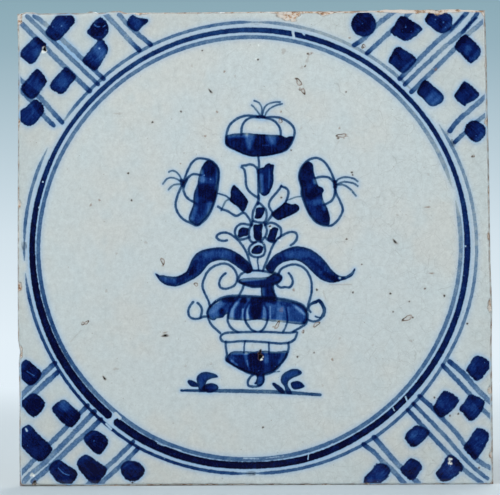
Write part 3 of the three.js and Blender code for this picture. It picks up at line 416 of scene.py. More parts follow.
paint_edge = np.full((GRID_COUNT, GRID_COUNT), FAR, np.float32)
paint_clear = np.ones_like(paint_edge)
near_tone = np.zeros_like(paint_edge)
bleed_clear = np.ones_like(paint_edge)
lays = {}


def lay(name, marks, spread=0.8):
    """Adds marks to the painting and remembers where this lay of colour is."""
    rows = [m[0][0] for m in marks]
    columns = [m[0][1] for m in marks]
    j0, j1 = min(s.start for s in rows), max(s.stop for s in rows)
    i0, i1 = min(s.start for s in columns), max(s.stop for s in columns)
    own = np.full((j1 - j0, i1 - i0), FAR, np.float32)
    for where, edge, tone in marks:
        nearer = edge > paint_edge[where]
        paint_clear[where] *= 1 - tone * np.clip(0.5 + edge / COAT_SOFTNESS, 0, 1)
        near_tone[where][nearer] = tone[nearer]
        paint_edge[where][nearer] = edge[nearer]
        bleed_clear[where] *= 1 - tone * np.exp(np.minimum(edge, 0) / (BLEED_LENGTH * spread))
        here = (slice(where[0].start - j0, where[0].stop - j0),
                slice(where[1].start - i0, where[1].stop - i0))
        own[here] = np.maximum(own[here], edge)
    lays[name] = (j0, i0, own)
    print(f"{name}: {len(marks)} marks")


def wear(marks):
    """Takes paint off again where it has worn or blistered away."""
    for where, edge, _ in marks:
        paint_edge[where] = np.minimum(paint_edge[where], -edge)
        bleed_clear[where] += (1 - bleed_clear[where]) * WORN_BLEED * np.clip(
            edge / COAT_SOFTNESS, 0, 1)


def sample(field, x, z):
    """Reads a grid between its points."""
    i = np.clip((x + GRID_REACH) / GRID_STEP, 0, GRID_COUNT - 1.001)
    j = np.clip((z + GRID_REACH) / GRID_STEP, 0, GRID_COUNT - 1.001)
    i0, j0 = i.astype(int), j.astype(int)
    u, v = i - i0, j - j0
    return ((field[j0, i0] * (1 - u) + field[j0, i0 + 1] * u) * (1 - v)
            + (field[j0 + 1, i0] * (1 - u) + field[j0 + 1, i0 + 1] * u) * v)

# %% [markdown]
# ## The painted ring
#
# Three lines run round: a pale inner one, a broad dark band and a thin outer one. They were
# painted on a turntable, so they are nearly round, but not quite, and their width and strength
# change as the brush ran dry and was filled again. A table of radii every 15 degrees says that
# better than a perfect circle would.

# %% The ring
RING_MIDDLE = (-0.4, 0.5)
RING_STEP = 15
INNER_RADII = [57.58, 57.55, 57.55, 57.66, 57.76, 57.9, 57.9, 58, 58.06, 58.18, 58.4, 58.68,
               59.02, 59.04, 59.14, 59.02, 59.17, 58.95, 58.62, 58.38, 57.98, 57.7, 57.5, 57.5]
BAND_RADII = [59.36, 59.45, 59.52, 59.54, 59.88, 59.81, 59.88, 59.97, 60.02, 60.05, 60.38, 60.49,
              60.7, 60.79, 60.92, 60.97, 61.1, 60.85, 60.28, 60.38, 59.83, 59.53, 59.55, 59.48]
OUTER_RADII = [61.9, 61.8, 61.59, 61.76, 61.9, 62.09, 62.1, 62.1, 62.3, 62.31, 62.67, 62.95,
               62.93, 63.1, 63.15, 63.31, 63.6, 63.1, 62.5, 62.6, 62.54, 62.1, 61.86, 62]
BAND_WIDTHS = [1.72, 1.3, 1.32, 1.27, 1.39, 1.6, 1.46, 1.33, 1.29, 1.38, 1.18, 1.55,
               1.64, 1.95, 2.15, 2.27, 2.31, 2.07, 1.98, 1.92, 1.87, 1.66, 1.77, 1.58]
BAND_TONES = [0.85, 0.84, 0.86, 0.88, 0.88, 0.88, 0.77, 0.77, 0.78, 0.78, 0.81, 0.9,
              1, 1, 1, 1, 1, 1, 1, 1, 0.97, 0.93, 0.92, 0.87]
INNER_TONES = [0.38, 0.34, 0.35, 0.42, 0.47, 0.48, 0.48, 0.5, 0.48, 0.5, 0.49, 0.54,
               0.56, 0.67, 0.63, 0.5, 0.53, 0.54, 0.53, 0.54, 0.52, 0.52, 0.51, 0.47]
OUTER_TONES = [0.35, 0.35, 0.46, 0.43, 0.3, 0.29, 0.5, 0.49, 0.5, 0.56, 0.46, 0.46,
               0.59, 0.63, 0.71, 0.83, 0.8, 0.76, 0.61, 0.6, 0.57, 0.6, 0.48, 0.48]
INNER_WIDTH, OUTER_WIDTH = 1.12, 0.9
INNER_ARC, BAND_ARC = (16, 372), (-127.6, 229.2)  # degrees from brush down to brush up
INNER_FADE, OUTER_FADE = 6, 5  # degrees over which their ends thin out
RING_SPREAD = 1.15  # how much further than over the plain field the blue ran here
TURN = 360


def around(table, angle):
    """Reads a table of values every RING_STEP degrees."""
    return float(np.interp(angle % TURN, np.arange(len(table) + 1) * RING_STEP,
                           [*table, table[0]]))


def arc(radii, start, end, width, tones, fade=0):
    """A stroke round the ring, from one angle to another, that may thin out at both ends."""
    rows = []
    for angle in np.linspace(start, end, max(3, round((end - start) / 5) + 1)):
        a, r = math.radians(angle), around(radii, angle)
        ends = min(1, 0.25 + min(angle - start, end - angle) / fade) if fade else 1
        w = around(width, angle) if isinstance(width, list) else width
        rows.append((RING_MIDDLE[0] + r * math.cos(a), RING_MIDDLE[1] + r * math.sin(a),
                     w * ends, around(tones, angle) * (0.5 + ends / 2)))
    return line([r[:2] for r in rows], [r[2] for r in rows], [r[3] for r in rows])


# %% [markdown]
# ## The crossed corners
#
# Each corner has pale lines that run from the edge towards the ring, where the brush was lifted
# and left a dark drop, and eight short dabs laid between them. The dabs are written inwards from
# their own corner, because that is how a painter would count them.

# %% Corner lines
CORNER_LINES = {  # width, strength at the edge, half way and near the ring, and points
    "nw": [
        (1.26, (0.5, 0.34, 0.58), [(-60.3, 65), (-56.5, 61.9), (-41.1, 47.2)]),
        (1.18, (0.41, 0.32, 0.55), [(-62.4, 64.9), (-42.7, 45.7)]),
        (1.42, (0.48, 0.44, 0.51), [(-63.8, 62.7), (-52, 50.7), (-45, 43.8)]),
        (1.34, (0.46, 0.45, 0.55), [(-65.3, 48.1), (-59.2, 42.5), (-52.7, 35.2)]),
        (1.34, (0.5, 0.45, 0.59), [(-65, 44.9), (-61.6, 41.6), (-58, 37.3), (-55.1, 34.4)]),
        (1.42, (0.42, 0.36, 0.57), [(-40.5, 65.1), (-37.2, 61.6), (-34, 58), (-31.2, 55.1)]),
        (1.34, (0.45, 0.45, 0.53), [(-36.7, 65), (-34.4, 62.3), (-31.3, 59.4), (-28, 56.6)]),
    ],
    "ne": [
        (1.34, (0.45, 0.43, 0.59), [(39.9, 65.3), (34.6, 61.4), (30.8, 57.4), (28.4, 55.9)]),
        (1.26, (0.41, 0.47, 0.54), [(44.6, 65.4), (38.3, 59.4), (31.9, 53.6)]),
        (1.34, (0.58, 0.4, 0.56), [(59.6, 64.7), (55.7, 60.5), (51.4, 56.8), (40.8, 46.4)]),
        (1.18, (0.6, 0.4, 0.49), [(62.4, 64.3), (58.8, 59.7), (53.7, 55.5), (49.4, 51.6),
            (42.2, 44.8)]),
        (1.26, (0.39, 0.35, 0.54), [(64.1, 62.2), (59.9, 58.6), (55.9, 54.4), (44, 42.7)]),
        (1.34, (0.44, 0.49, 0.69), [(64.8, 41.7), (60.1, 37.5), (56.5, 34.4), (54.5, 31.8)]),
        (1.22, (0.39, 0.45, 0.53), [(65, 36.6), (62.4, 34.7), (58.3, 31), (55.8, 28.7)]),
    ],
    "sw": [
        (1.5, (0.46, 0.45, 0.59), [(-64.7, -40.9), (-62.1, -38.2), (-57.8, -34.1), (-54.9, -31.5)]),
        (1.5, (0.5, 0.47, 0.59), [(-65.1, -43.5), (-60.3, -39.5), (-57.5, -36.9), (-54.3, -34.1)]),
        (1.34, (0.46, 0.42, 0.57), [(-64.9, -62.2), (-45.9, -43.2)]),
        (1.42, (0.43, 0.37, 0.53), [(-64.4, -64.8), (-61.5, -61.8), (-57.4, -58.4), (-44, -44.8)]),
        (1.42, (0.52, 0.48, 0.61), [(-61.1, -63.9), (-56.9, -60.4), (-48.9, -53), (-45.5, -50.1),
            (-42.3, -47)]),
        (1.26, (0.5, 0.49, 0.55), [(-46.3, -65.1), (-40, -59.5), (-36.6, -56.4), (-33.4, -53.2)]),
        (1.26, (0.52, 0.47, 0.59), [(-42.8, -64.9), (-37.2, -60), (-34.6, -57.6), (-32.2, -55.2)]),
    ],
    "se": [
        (1.42, (0.48, 0.5, 0.66), [(65, -43), (61, -39.1), (57.8, -35.3), (53.8, -31.7)]),
        (1.26, (0.45, 0.43, 0.63), [(65, -47), (62.7, -44.9), (59.1, -40.5), (51.9, -32.7)]),
        (1.26, (0.48, 0.49, 0.69), [(64.4, -60.8), (60.9, -58.5), (55.1, -50.9), (51.5, -47.2),
            (49.1, -44.5), (45.4, -41.1)]),
        (1.1, (0.52, 0.49, 0.57), [(63.7, -63.7), (59.2, -59.9), (51.5, -51.2), (46.8, -46.3),
            (43.7, -43.1)]),
        (1.22, (0.54, 0.48, 0.68), [(62.2, -65), (57.6, -61.4), (42.2, -44.9)]),
        (1.5, (0.5, 0.45, 0.59), [(44.9, -64.9), (39.6, -60), (32.9, -52.3)]),
        (1.34, (0.5, 0.43, 0.58), [(41, -64.9), (37.7, -61.2), (35, -58.8), (33.6, -57.1),
            (30, -54.2)]),
    ],
}
OUTER_ARCS = {  # stretches of the ring's outer line in each corner, in degrees
    "nw": [(88, 147), (154, 180)],
    "ne": [(43.5, 89)],
    "sw": [(179, 183.2), (186.5, 270)],
    "se": [(269, 392.5)],
}
TONE_PLACES = (0.1, 0.5, 0.9)  # where along a line its three strengths hold
POOLED_END = 0.72  # strength of the drop where the brush was lifted
CORNER_SPREAD = 1.0  # the blue ran further here than over the flowers
SMUDGES = [[(55, 59.9), (56.6, 61.6), (58.4, 63.6)], [(58.3, 59.2), (60, 61.2), (62, 63)]]
SMUDGE_WIDTHS, SMUDGE_TONES = [1.1, 0.7, 0.9], [0.5, 0.72, 0.6]
WIPED, WIPED_WIDTH, WIPED_TONE = [(-53, 57.6), (-51, 56), (-48.8, 53.6)], 2.4, 0.7
WORN = [  # points and width of places where paint is gone
    ([(11.4, 60.2), (11.7, 58)], 0.75), ([(14.2, 59.3), (14.6, 58.9)], 0.4),
    ([(41.6, -41.2), (42, -42.4)], 0.4), ([(38.1, -44.2), (38.5, -45)], 0.3),
    ([(14.9, -56.4), (14.7, -58.2)], 0.3), ([(58.5, 0)], 0.45), ([(-59.1, 11.6)], 0.6),
    ([(-58.1, 18.7)], 0.5), ([(-38.2, -45.4), (-37, -46.6)], 1.0),
    ([(-40.8, -48.2), (-39.4, -49.6)], 0.5), ([(-26.6, -53.6), (-24.8, -54.3)], 0.35),
    ([(-22.4, -55), (-20.2, -55.6)], 0.3), ([(-3, -57.9), (1.2, -58)], 0.2),
    ([(3, -57.9), (8, -57.3)], 0.16), ([(20.8, -54.6), (21.4, -53.9)], 0.25),
]

for name, rows in CORNER_LINES.items():
    marks = [line(row, width, np.interp(np.linspace(0, 1, len(row)), TONE_PLACES, tones),
                  pool=POOLED_END) for width, tones, row in rows]
    marks += [arc(OUTER_RADII, *ends, OUTER_WIDTH, OUTER_TONES, OUTER_FADE)
              for ends in OUTER_ARCS[name]]
    if name == "ne":  # a finger smudged two wet lines here
        marks += [line(row, SMUDGE_WIDTHS, SMUDGE_TONES) for row in SMUDGES]
    lay(f"corner_lines_{name}", marks, CORNER_SPREAD)

lay("ring_inner_line", [arc(INNER_RADII, *INNER_ARC, INNER_WIDTH, INNER_TONES, INNER_FADE)],
    RING_SPREAD)
lay("ring_main_band", [arc(BAND_RADII, *BAND_ARC, BAND_WIDTHS, BAND_TONES)], RING_SPREAD)
where, edge, tone = line(WIPED, WIPED_WIDTH, WIPED_TONE)  # wiped off wet, it left a faint cloud
bleed_clear[where] *= 1 - tone * np.exp(np.minimum(edge, 0) / BLEED_LENGTH)
wear([line(*mark) for mark in WORN])

# %% Dabs
CORNER = 65.1  # the corner of the painting, from the middle of the face
# which way x and z run from the middle to each corner, and how far its dabs sit off their place
SIGNS = {"nw": (-1, 1), "ne": (1, 1), "sw": (-1, -1), "se": (1, -1)}
NUDGE = {"nw": (0.05, -0.05), "ne": (-0.07, -0.15), "sw": (0.05, 0.05), "se": (-0.1, -0.04)}
DABS = {
    "nw": [
        [(11, 0.3), (14.4, -0.2), (16, 1.3), (14.6, 3.6), (12.4, 6), (10.9, 7.2), (8.4, 5.7),
            (7.9, 4.6), (9.3, 2.4)],
        [(5.4, 6), (7.3, 7.4), (8.1, 8.2), (6.4, 10.3), (5, 12.8), (3.9, 13.5), (1.3, 11.7),
            (0.7, 10.6), (2.1, 8.8), (4.2, 6.6)],
        [(5.6, 15), (7.3, 16.8), (8.1, 18.3), (6.2, 21.3), (4.6, 23.1), (3.4, 23.1), (1.5, 21.3),
            (1, 20.2), (2.6, 18), (4.6, 15.6)],
        [(13.4, 14.5), (15.3, 16), (16.2, 17.2), (14.8, 19.2), (12.9, 21.6), (12, 21.9),
            (9.8, 20.7), (9, 19.8), (10, 18), (12, 15.8)],
        [(5.1, 23.4), (6.8, 24.8), (7.4, 26.1), (6.6, 28), (4.2, 30.4), (2.7, 30.7), (0.7, 29),
            (0.4, 27.1), (2.6, 25.3), (4, 24)],
        [(23.2, 0.8), (24.7, 2.1), (25.3, 4.4), (24, 6.4), (22.5, 7), (20.7, 6.1), (19.5, 4.9),
            (19.9, 3.9), (21.8, 1.6)],
        [(23, 6.7), (24.8, 8.4), (25.2, 9.8), (24.2, 12), (22.3, 14.8), (21.5, 15.5), (19.6, 14.4),
            (18.1, 13), (18.9, 11.4), (21.3, 8.6)],
        [(30.7, 1.6), (32.1, 0.2), (33.4, 0.9), (36.4, 1.6), (34.5, 3.6), (33.2, 4.7), (31.2, 3.6),
            (30.5, 2.5)],
    ],
    "ne": [
        [(37.4, 3.3), (36.4, 5.7), (34, 6.7), (31.6, 5.7), (30.6, 3.3), (31.6, 0.9), (34, -0.1),
            (36.4, 0.9)],
        [(23, 1.2), (20.6, 2.6), (17.9, 4.8), (19, 6), (21.1, 7.6), (22.3, 8.1), (24.9, 6.9),
            (26.6, 5.5), (25.6, 3.8), (24, 1.4)],
        [(14.5, -0.3), (11.9, 0.3), (9.8, 1.3), (9.6, 3.6), (10.3, 5), (12.6, 6), (15.5, 4.1),
            (17, 2.8), (16.8, 1.6), (15.7, 0.2)],
        [(5.9, 6.5), (3.8, 8.2), (1.9, 10.6), (2, 12.1), (3.8, 14), (4.7, 14.4), (7, 12), (8.9, 10),
            (7.7, 7.8), (6.8, 6.7)],
        [(24.6, 9.7), (22.3, 10.9), (19.6, 13.1), (20.6, 14.8), (23, 16.9), (23.7, 16.8),
            (26.1, 14.8), (27.2, 13.8), (26.5, 12), (25.4, 10.2)],
        [(17.1, 19), (14.8, 20.8), (12.4, 23.2), (12.3, 24.7), (14.8, 26.2), (15.8, 26.1),
            (17.7, 24.2), (19.4, 22.4), (18.7, 20.7), (17.8, 19.4)],
        [(6.2, 19.5), (4, 21.3), (2.5, 23), (3.1, 24.2), (5.7, 25.6), (6.4, 26.2), (7.6, 25.4),
            (9.2, 23.4), (8.4, 22), (7, 20.1)],
        [(3.8, 30.3), (0.8, 32.2), (0.8, 34.1), (3.4, 36.3), (6.5, 33.2), (5.4, 31)],
    ],
    "sw": [
        [(2.1, 34.5), (4.5, 33), (6.4, 31), (5, 28.5), (3.3, 27.6), (1.2, 29.2), (0.5, 32.1),
            (1, 33.7)],
        [(4.3, 25.3), (6.4, 24), (7.4, 22.4), (6, 20.1), (4.3, 18.9), (1.9, 20.8), (1, 23),
            (2.4, 24.4)],
        [(12.7, 23.5), (14.8, 21.8), (17.1, 19.6), (16.9, 18.4), (14.8, 16), (13.7, 16.2),
            (11.5, 18), (9.4, 21.1), (10, 22.1), (11.6, 23.1)],
        [(3.1, 16.6), (4.8, 14.8), (7.6, 12.2), (9.3, 10), (7.9, 7.9), (6.2, 6.6), (3.8, 7.9),
            (1, 10.8), (0.4, 12.4), (0.4, 14.6), (1.2, 15.8)],
        [(20.6, 15), (23.2, 14.1), (24.7, 12.3), (24.1, 10.3), (22.3, 8.5), (20.4, 9.7),
            (18.1, 12.7), (19.1, 14.2)],
        [(11.2, 7), (13.4, 5.7), (16.2, 3.3), (15.1, 0.9), (13.4, 0), (11.5, 0.7), (9.8, 2.1),
            (8.5, 4.6), (9.5, 6.3)],
        [(18.7, 8.4), (21.3, 6.8), (24.4, 4.3), (22.8, 1.6), (21.1, 0.4), (18.2, 2.6), (16.2, 6),
            (17.4, 7.8)],
        [(30.2, 6.6), (33.3, 6.1), (34.8, 4), (33.6, 1.9), (31.4, 1.1), (29.2, 2.1), (28.2, 4.5),
            (29, 6)],
    ],
    "se": [
        [(3.8, 35), (0.9, 33.8), (0.2, 32.6), (1.9, 29.5), (3.9, 28.2), (6, 30.2), (6.6, 31.3),
            (5.3, 33.4)],
        [(12.9, 25.4), (10.8, 24.7), (8.8, 23), (10.5, 20.4), (12.6, 18.7), (13.9, 18.2),
            (15.8, 20.8), (15, 22.5), (13.7, 24.5)],
        [(5.7, 24.3), (3.1, 23.5), (1.8, 22.4), (2.8, 19.6), (5, 17.4), (6, 17.3), (7.6, 19.2),
            (8.6, 20.5), (7.2, 22.5)],
        [(20.6, 16), (18, 15.2), (17, 14), (18.4, 12.2), (20.7, 10.3), (21.9, 10.2), (23.6, 13),
            (22, 15.1)],
        [(4, 15.1), (1.6, 14.5), (0.7, 13), (2.4, 9.3), (4.6, 6.6), (6.2, 8), (7.6, 10), (6.2, 12),
            (4.8, 14.2)],
        [(22.3, 6.9), (20.4, 6.4), (19.1, 4.7), (20.1, 2.8), (21.9, 1), (24, 2.5), (25, 4),
            (23.8, 5.5)],
        [(11.5, 7.9), (9.6, 7), (7.9, 4.3), (9.2, 2.7), (12, 0.9), (13.7, 0.8), (15.2, 2.7),
            (13.7, 5), (12.5, 7.1)],
        [(31.4, 5.6), (28.8, 5.2), (27.8, 3.7), (28.8, 1.6), (31.4, 0.2), (34.8, 0.3), (34.8, 1.8),
            (32.8, 4)],
    ],
}
DAB_GROWTH = 0.08
DAB_WAYS = {  # strength, where the brush went, and its change at the far end, near end and between
    "nw": (0.88, (1, 1), 0.05, 0.01, -0.06), "ne": (0.92, (-1, 1), 0.08, -0.12, -0.02),
    "sw": (0.95, (-1, 1), -0.1, 0.05, 0.0), "se": (0.9, (1, 1), 0.0, 0.04, -0.07),
}
DAB_BARS = ((0.8, 0.5), (-0.85, 0.5), (0.05, 0.85))  # place along the dab and width of each change
DAB_TOUCHES = {  # other lighter and darker places, counted inwards from the corner like the dabs
    ("nw", 1): [([(9.9, 3.2)], 0.3, -0.5), ([(12.3, 3)], 0.3, -0.5), ([(11, 5)], 0.2, -0.4)],
    ("nw", 2): [([(5.4, 10.6)], 2.4, -0.08)],
    ("nw", 4): [([(12.4, 18.6)], 2.6, -0.12)],
    ("nw", 6): [([(22.3, 4)], 5, 0.14), ([(21.4, 2.6), (22.1, 3.3), (22.9, 3.3)], 0.28, -0.5),
                ([(23.8, 3.4), (24.4, 3)], 0.25, -0.5)],
    ("nw", 7): [([(22.4, 8.6), (23.6, 11)], 3, -0.2), ([(22.8, 9.4)], 0.5, -0.4)],
    ("ne", 1): [([(34, 3.3)], 5.5, 0.14)],
    ("ne", 2): [([(22.4, 4.2)], 0.35, -0.6), ([(20.9, 5.4)], 0.3, -0.5), ([(22, 4)], 5, 0.1)],
    ("ne", 3): [([(12, 3)], 0.5, -0.4), ([(14.2, 2.2)], 0.35, -0.45), ([(11.4, 4.4)], 0.4, -0.3)],
    ("ne", 4): [([(5.2, 10.2), (5.4, 11.4)], 1.6, -0.14)],
    ("ne", 6): [([(14.6, 23.6), (15.6, 24.6)], 3, -0.2)],
    ("sw", 1): [([(2.4, 31.4), (4.4, 30.2)], 0.2, -0.5)],
    ("sw", 2): [([(4.2, 22)], 4.5, 0.12)],
    ("sw", 3): [([(13, 22)], 3, -0.2), ([(10.2, 21.4)], 2, 0.08)],
    ("sw", 4): [([(2.1, 15.6), (2.4, 15)], 0.5, -0.8)],
    # its small pale spot is a painted highlight, a glint on the dab
    ("sw", 5): [([(20.9, 12.2)], 0.35, -0.6), ([(21.4, 11.6)], 4.5, 0.08)],
    ("sw", 6): [([(11, 4.8), (12.4, 3.4), (14, 2.8)], 0.22, -0.5)],
    ("sw", 7): [([(20, 3.6), (18, 5.4)], 3.4, 0.1)],
    ("se", 1): [([(2.6, 31)], 2.6, 0.12)],
    ("se", 4): [([(21.8, 12.6), (21, 14)], 1.6, -0.12)],
    ("se", 6): [([(21.6, 3.6)], 3.2, 0.14)],
    ("se", 7): [([(8.7, 3.1)], 0.6, -0.7), ([(9.6, 5.6)], 2.2, 0.14)],
    ("se", 8): [([(33.4, 1.4)], 1.6, -0.14)],
}


def bars(outline, corner):
    """Darker and lighter bars across a dab, as its brush stroke left them."""
    _, way, *changes = DAB_WAYS[corner]
    way = np.array(way) / math.hypot(*way)
    across = np.array([-way[1], way[0]])
    middle = np.mean(outline, axis=0)
    half, wide = (np.abs((outline - middle) @ v).max() for v in (way, across))
    return [([tuple(middle + way * half * at + across * wide * side) for side in (-0.6, 0.6)],
             half * width, change) for (at, width), change in zip(DAB_BARS, changes)]


for name, outlines in DABS.items():
    (sx, sz), (nx, nz) = SIGNS[name], NUDGE[name]

    def placed(points):
        """Points counted inwards from this corner, turned into x and z."""
        return [(sx * (CORNER - u) + nx, sz * (CORNER - v) + nz) for u, v in points]

    lay(f"dabs_{name}", [
        patch(placed(outline), DAB_WAYS[name][0], DAB_GROWTH, bars(placed(outline), name)
              + [(placed(p), w, change) for p, w, change in DAB_TOUCHES.get((name, n), ())])
        for n, outline in enumerate(outlines, 1)], CORNER_SPREAD)

# %% [markdown]
# ## The vase of flowers
#
# The drawing is outlined with a fine brush first. Its lines are given here point by point, in
# millimetres from the middle of the face. Then darker washes are floated over the outlines, and
# each of them is lighter and darker in places, where the brush pressed or the colour settled.

# %% Outlines of the bouquet
# A line's points are followed by its width and strength where these aren't the usual ones.
TOP_FLOWER = [
    line([(2.3, 36.3), (-1.5, 36.6), (-3.5, 36.1), (-5, 35.2), (-6.2, 34), (-6.9, 32.5), (-7.2, 31),
        (-7.3, 29.6)], 0.7),
    line([(1.5, 36.1), (0, 36.1), (-1.3, 35.6), (-2.4, 34.6), (-2.9, 33.2), (-3.05, 31.2)]),
    line([(3, 36.1), (6, 35.1), (7.1, 34), (7.7, 32.8), (7.9, 31)]),
    line([(3, 36.05), (6, 36.15), (7.6, 35.9), (9.3, 35.2), (10.8, 34), (11.6, 32.7), (11.6, 31),
        (10.2, 28), (9.2, 27), (5, 25.8), (1.6, 25.5), (-1.5, 25.85), (-4.9, 27.3), (-7, 28.5),
        (-7.3, 29.6)], 0.7),
    line([(2.3, 36.4), (1.7, 37.4), (0.8, 38.6), (-0.1, 39.5)], 0.5, 0.5),
    line([(2.6, 36.2), (2.7, 38.4), (2.3, 39.6), (1.5, 40.4), (0.6, 40.7)], 0.5, 0.5),
    line([(2.8, 36.2), (3.2, 38.2), (3.9, 39.4), (5.1, 40), (6.6, 40.3), (7.7, 40.3)], 0.5, 0.5),
    line([(3.3, 36), (4.1, 37.6), (5.1, 38.6), (6.5, 39.3), (8.3, 39.75)], 0.5, 0.5),
    line([(1.6, 36.2), (3.2, 36.2)], 0.95, 0.72),
]

TULIP = [
    line([(1.65, 25.3), (1.75, 23.5), (1.8, 22.4), (1.45, 20.9)]),
    line([(-2.9, 22.7), (-1.8, 22.8), (-0.8, 23.1), (0.3, 22.8), (1.1, 22.1), (1.45, 20.9),
        (1.6, 14.3)]),
    line([(-3.1, 22.3), (-2.4, 21.8), (-2, 20.4), (-1.7, 16.9), (-1.1, 15.8), (-0.2, 14.9),
        (1.7, 13.6)]),
    line([(1.6, 14.3), (1.6, 13.3), (1.4, 12.1)], 0.9),
]

BERRY_OUTLINES = [
    line([(1.5, 12.4), (0.1, 10), (-0.1, 8.6), (0.1, 7.5), (2.5, 6.9), (3.2, 7), (3.7, 8),
        (3.8, 9.3), (3.6, 10.4), (2.9, 11.3)], closed=True),
    line([(-0.3, 6.2), (-1.8, 6.5), (-3.2, 6.6), (-4.3, 6), (-4.9, 5), (-4.9, 3.9), (-4.4, 2.9),
        (-3.5, 2.3), (-2.6, 2.4), (-0.9, 3)]),
    line([(-0.1, 7.3), (-0.3, 6.3), (-0.9, 5.4), (-1.1, 4.3), (-1.1, 2.8), (-0.7, 2), (-0.1, 1.5),
        (0.8, 1.5)]),
    line([(3.1, 7), (3.7, 5.4), (3.8, 4.2), (3.4, 3.2), (2.1, 1.6)]),
    line([(3.6, 6.4), (5, 6.9), (6.1, 6.6), (7, 6), (7.6, 5.4), (7.8, 4.4), (7.6, 3.2), (7, 2.5)]),
    line([(3.4, 2.9), (4, 2.2), (4.6, 1.8), (5.6, 1.5), (6.3, 1.9)]),
    line([(1.5, 1.8), (0.1, 1.2), (-0.8, 0.4), (-1.2, -0.6), (-0.9, -1.7), (0, -2.4), (1, -2.6),
        (2.3, -2.4), (3, -1.9), (3.3, -0.9), (3.2, 0.3), (2.8, 1.2)], closed=True),
]

STEMS = [
    line([(-7.2, 2.1), (-8.2, 2), (-9.3, 2.2), (-10, 2.9), (-9.9, 3.5), (-9, 4.1), (-8, 4.3),
        (-6.9, 4.1), (-5.6, 3.4), (-4.4, 2.4), (-3.4, 1.3), (-2.5, 0), (-1.7, -1.6), (-0.3, -6.1)]),
    line([(10.4, 0.6), (11.2, 1.2), (12, 2.2), (12.2, 3.2), (11.8, 4), (11, 4.3), (10, 4.2),
        (7.6, 3.1), (6.6, 2.3), (5.6, 0.8), (2.6, -6.5)]),
    line([(1.4, -2.5), (1.2, -3.6), (1.4, -5), (1.5, -6.4)], 0.45, 0.62),
    line([(-0.6, -6.1), (1.4, -6.3), (2.8, -6.5)], 0.45, 0.62),
]

BUD_OUTLINES = [
    line([(-9.6, 15.1), (-7.4, 14.4), (-6.6, 13.8), (-3.9, 11.3), (-2.6, 9.8)], 0.5),
    line([(-6.4, 13.4), (-7.4, 13), (-8.7, 10.4)], 0.5, 0.5),
    line([(-9.6, 11.5), (-8.5, 10.8), (-7, 10.2), (-4.8, 8.9), (-4, 9), (-3.2, 9.5), (-2.3, 9.6),
        (-1.2, 8.3), (-0.7, 7.4), (-0.4, 6.2)]),
    line([(7.9, 17.1), (7.4, 16.2), (4.7, 12.8), (4.5, 11.7), (4.8, 10.6), (5.4, 9.6), (3.3, 6.2)]),
    line([(7.9, 16.9), (9.2, 16.4), (9.8, 15.6), (9.8, 14.4), (9.4, 13.2), (8.9, 12.3),
        (5.5, 9.5)]),
    line([(9.2, 12.9), (10.5, 13.4), (11.8, 13.9), (13.6, 14.1)], 0.4, 0.45),
]

LEFT_FLOWER = [
    line([(-19.2, 18), (-18.8, 19.3), (-17.3, 22.8), (-16.4, 24), (-15.2, 24.8), (-12.7, 24.6),
        (-11.4, 24.1), (-10.4, 23.3), (-9.7, 22.4), (-9.3, 21.2), (-9.3, 20), (-9.9, 15.4),
        (-10.4, 13.4), (-11.6, 10.2), (-12.4, 8.8), (-13.5, 7.6), (-15.3, 6.3), (-17.5, 7.1),
        (-18.9, 7.8), (-19.9, 8.7), (-20.7, 9.8), (-21.2, 11.1), (-21.3, 12.5), (-20.9, 14.2),
        (-20.3, 15.8), (-19.5, 17.4)], closed=True),
    line([(-19.2, 18), (-17.4, 20), (-16.3, 20.5), (-14.2, 20.2)]),
    line([(-18.1, 19.1), (-19.1, 16.6), (-19, 15.6), (-18.4, 14.3), (-17.4, 13.4), (-15.3, 12.2)]),
    line([(-19.6, 18.6), (-19.9, 19.6), (-20.6, 20.6), (-21.5, 21.4), (-22.5, 21.5), (-23.1, 21.2)],
        0.52, 0.5),
    line([(-19.6, 18.3), (-21, 19.2), (-22.4, 19.6), (-23.6, 19.3), (-24.8, 17.9)], 0.52, 0.5),
    line([(-19.6, 17.7), (-21.3, 17.7), (-22.4, 17.2), (-23.3, 16.2)], 0.52, 0.5),
    line([(-19.6, 18.6), (-19.2, 17.4)], 1.3),
]

RIGHT_FLOWER = [
    line([(22.7, 17.8), (21.6, 20.9), (20.8, 22.3), (19.9, 23.5), (18.7, 24.4), (17.6, 24.7),
        (16.3, 24.5), (15.2, 23.9), (14.2, 23), (13.4, 21.8), (12.9, 20.4), (12.9, 19),
        (13.5, 16.5), (13.5, 14.8), (14.5, 11.8), (15.7, 9.1), (17.2, 7.2), (18.7, 6.3), (20.2, 6),
        (21.6, 6), (22.8, 6.8), (24, 8.3), (24.8, 10.2), (24.3, 12.2), (23, 15), (22.8, 16.6)],
        closed=True),
    line([(17.2, 19.1), (18.3, 19.4), (19.6, 19.5), (20.8, 19.3), (21.6, 18.8), (22.6, 17.8)]),
    line([(22.7, 16.6), (22.6, 14.8), (22.3, 13.6), (21.6, 12.7), (19.6, 11.6)]),
    line([(22.9, 17.8), (23.6, 18.7), (24.4, 19.1), (25.6, 19.3), (26.8, 19.2), (28, 18.8),
        (29, 18.1)], 0.55, 0.52),
    line([(22.8, 17.2), (24.4, 17.8), (25.4, 18), (26.6, 17.9), (28, 17.5), (29, 16.8)],
        0.55, 0.52),
    line([(23.2, 17.2), (24.8, 17.2), (26, 16.7), (27, 15.9), (28.5, 14.1)], 0.55, 0.52),
    line([(22.7, 18), (22.8, 16.6)], 1.2),
]

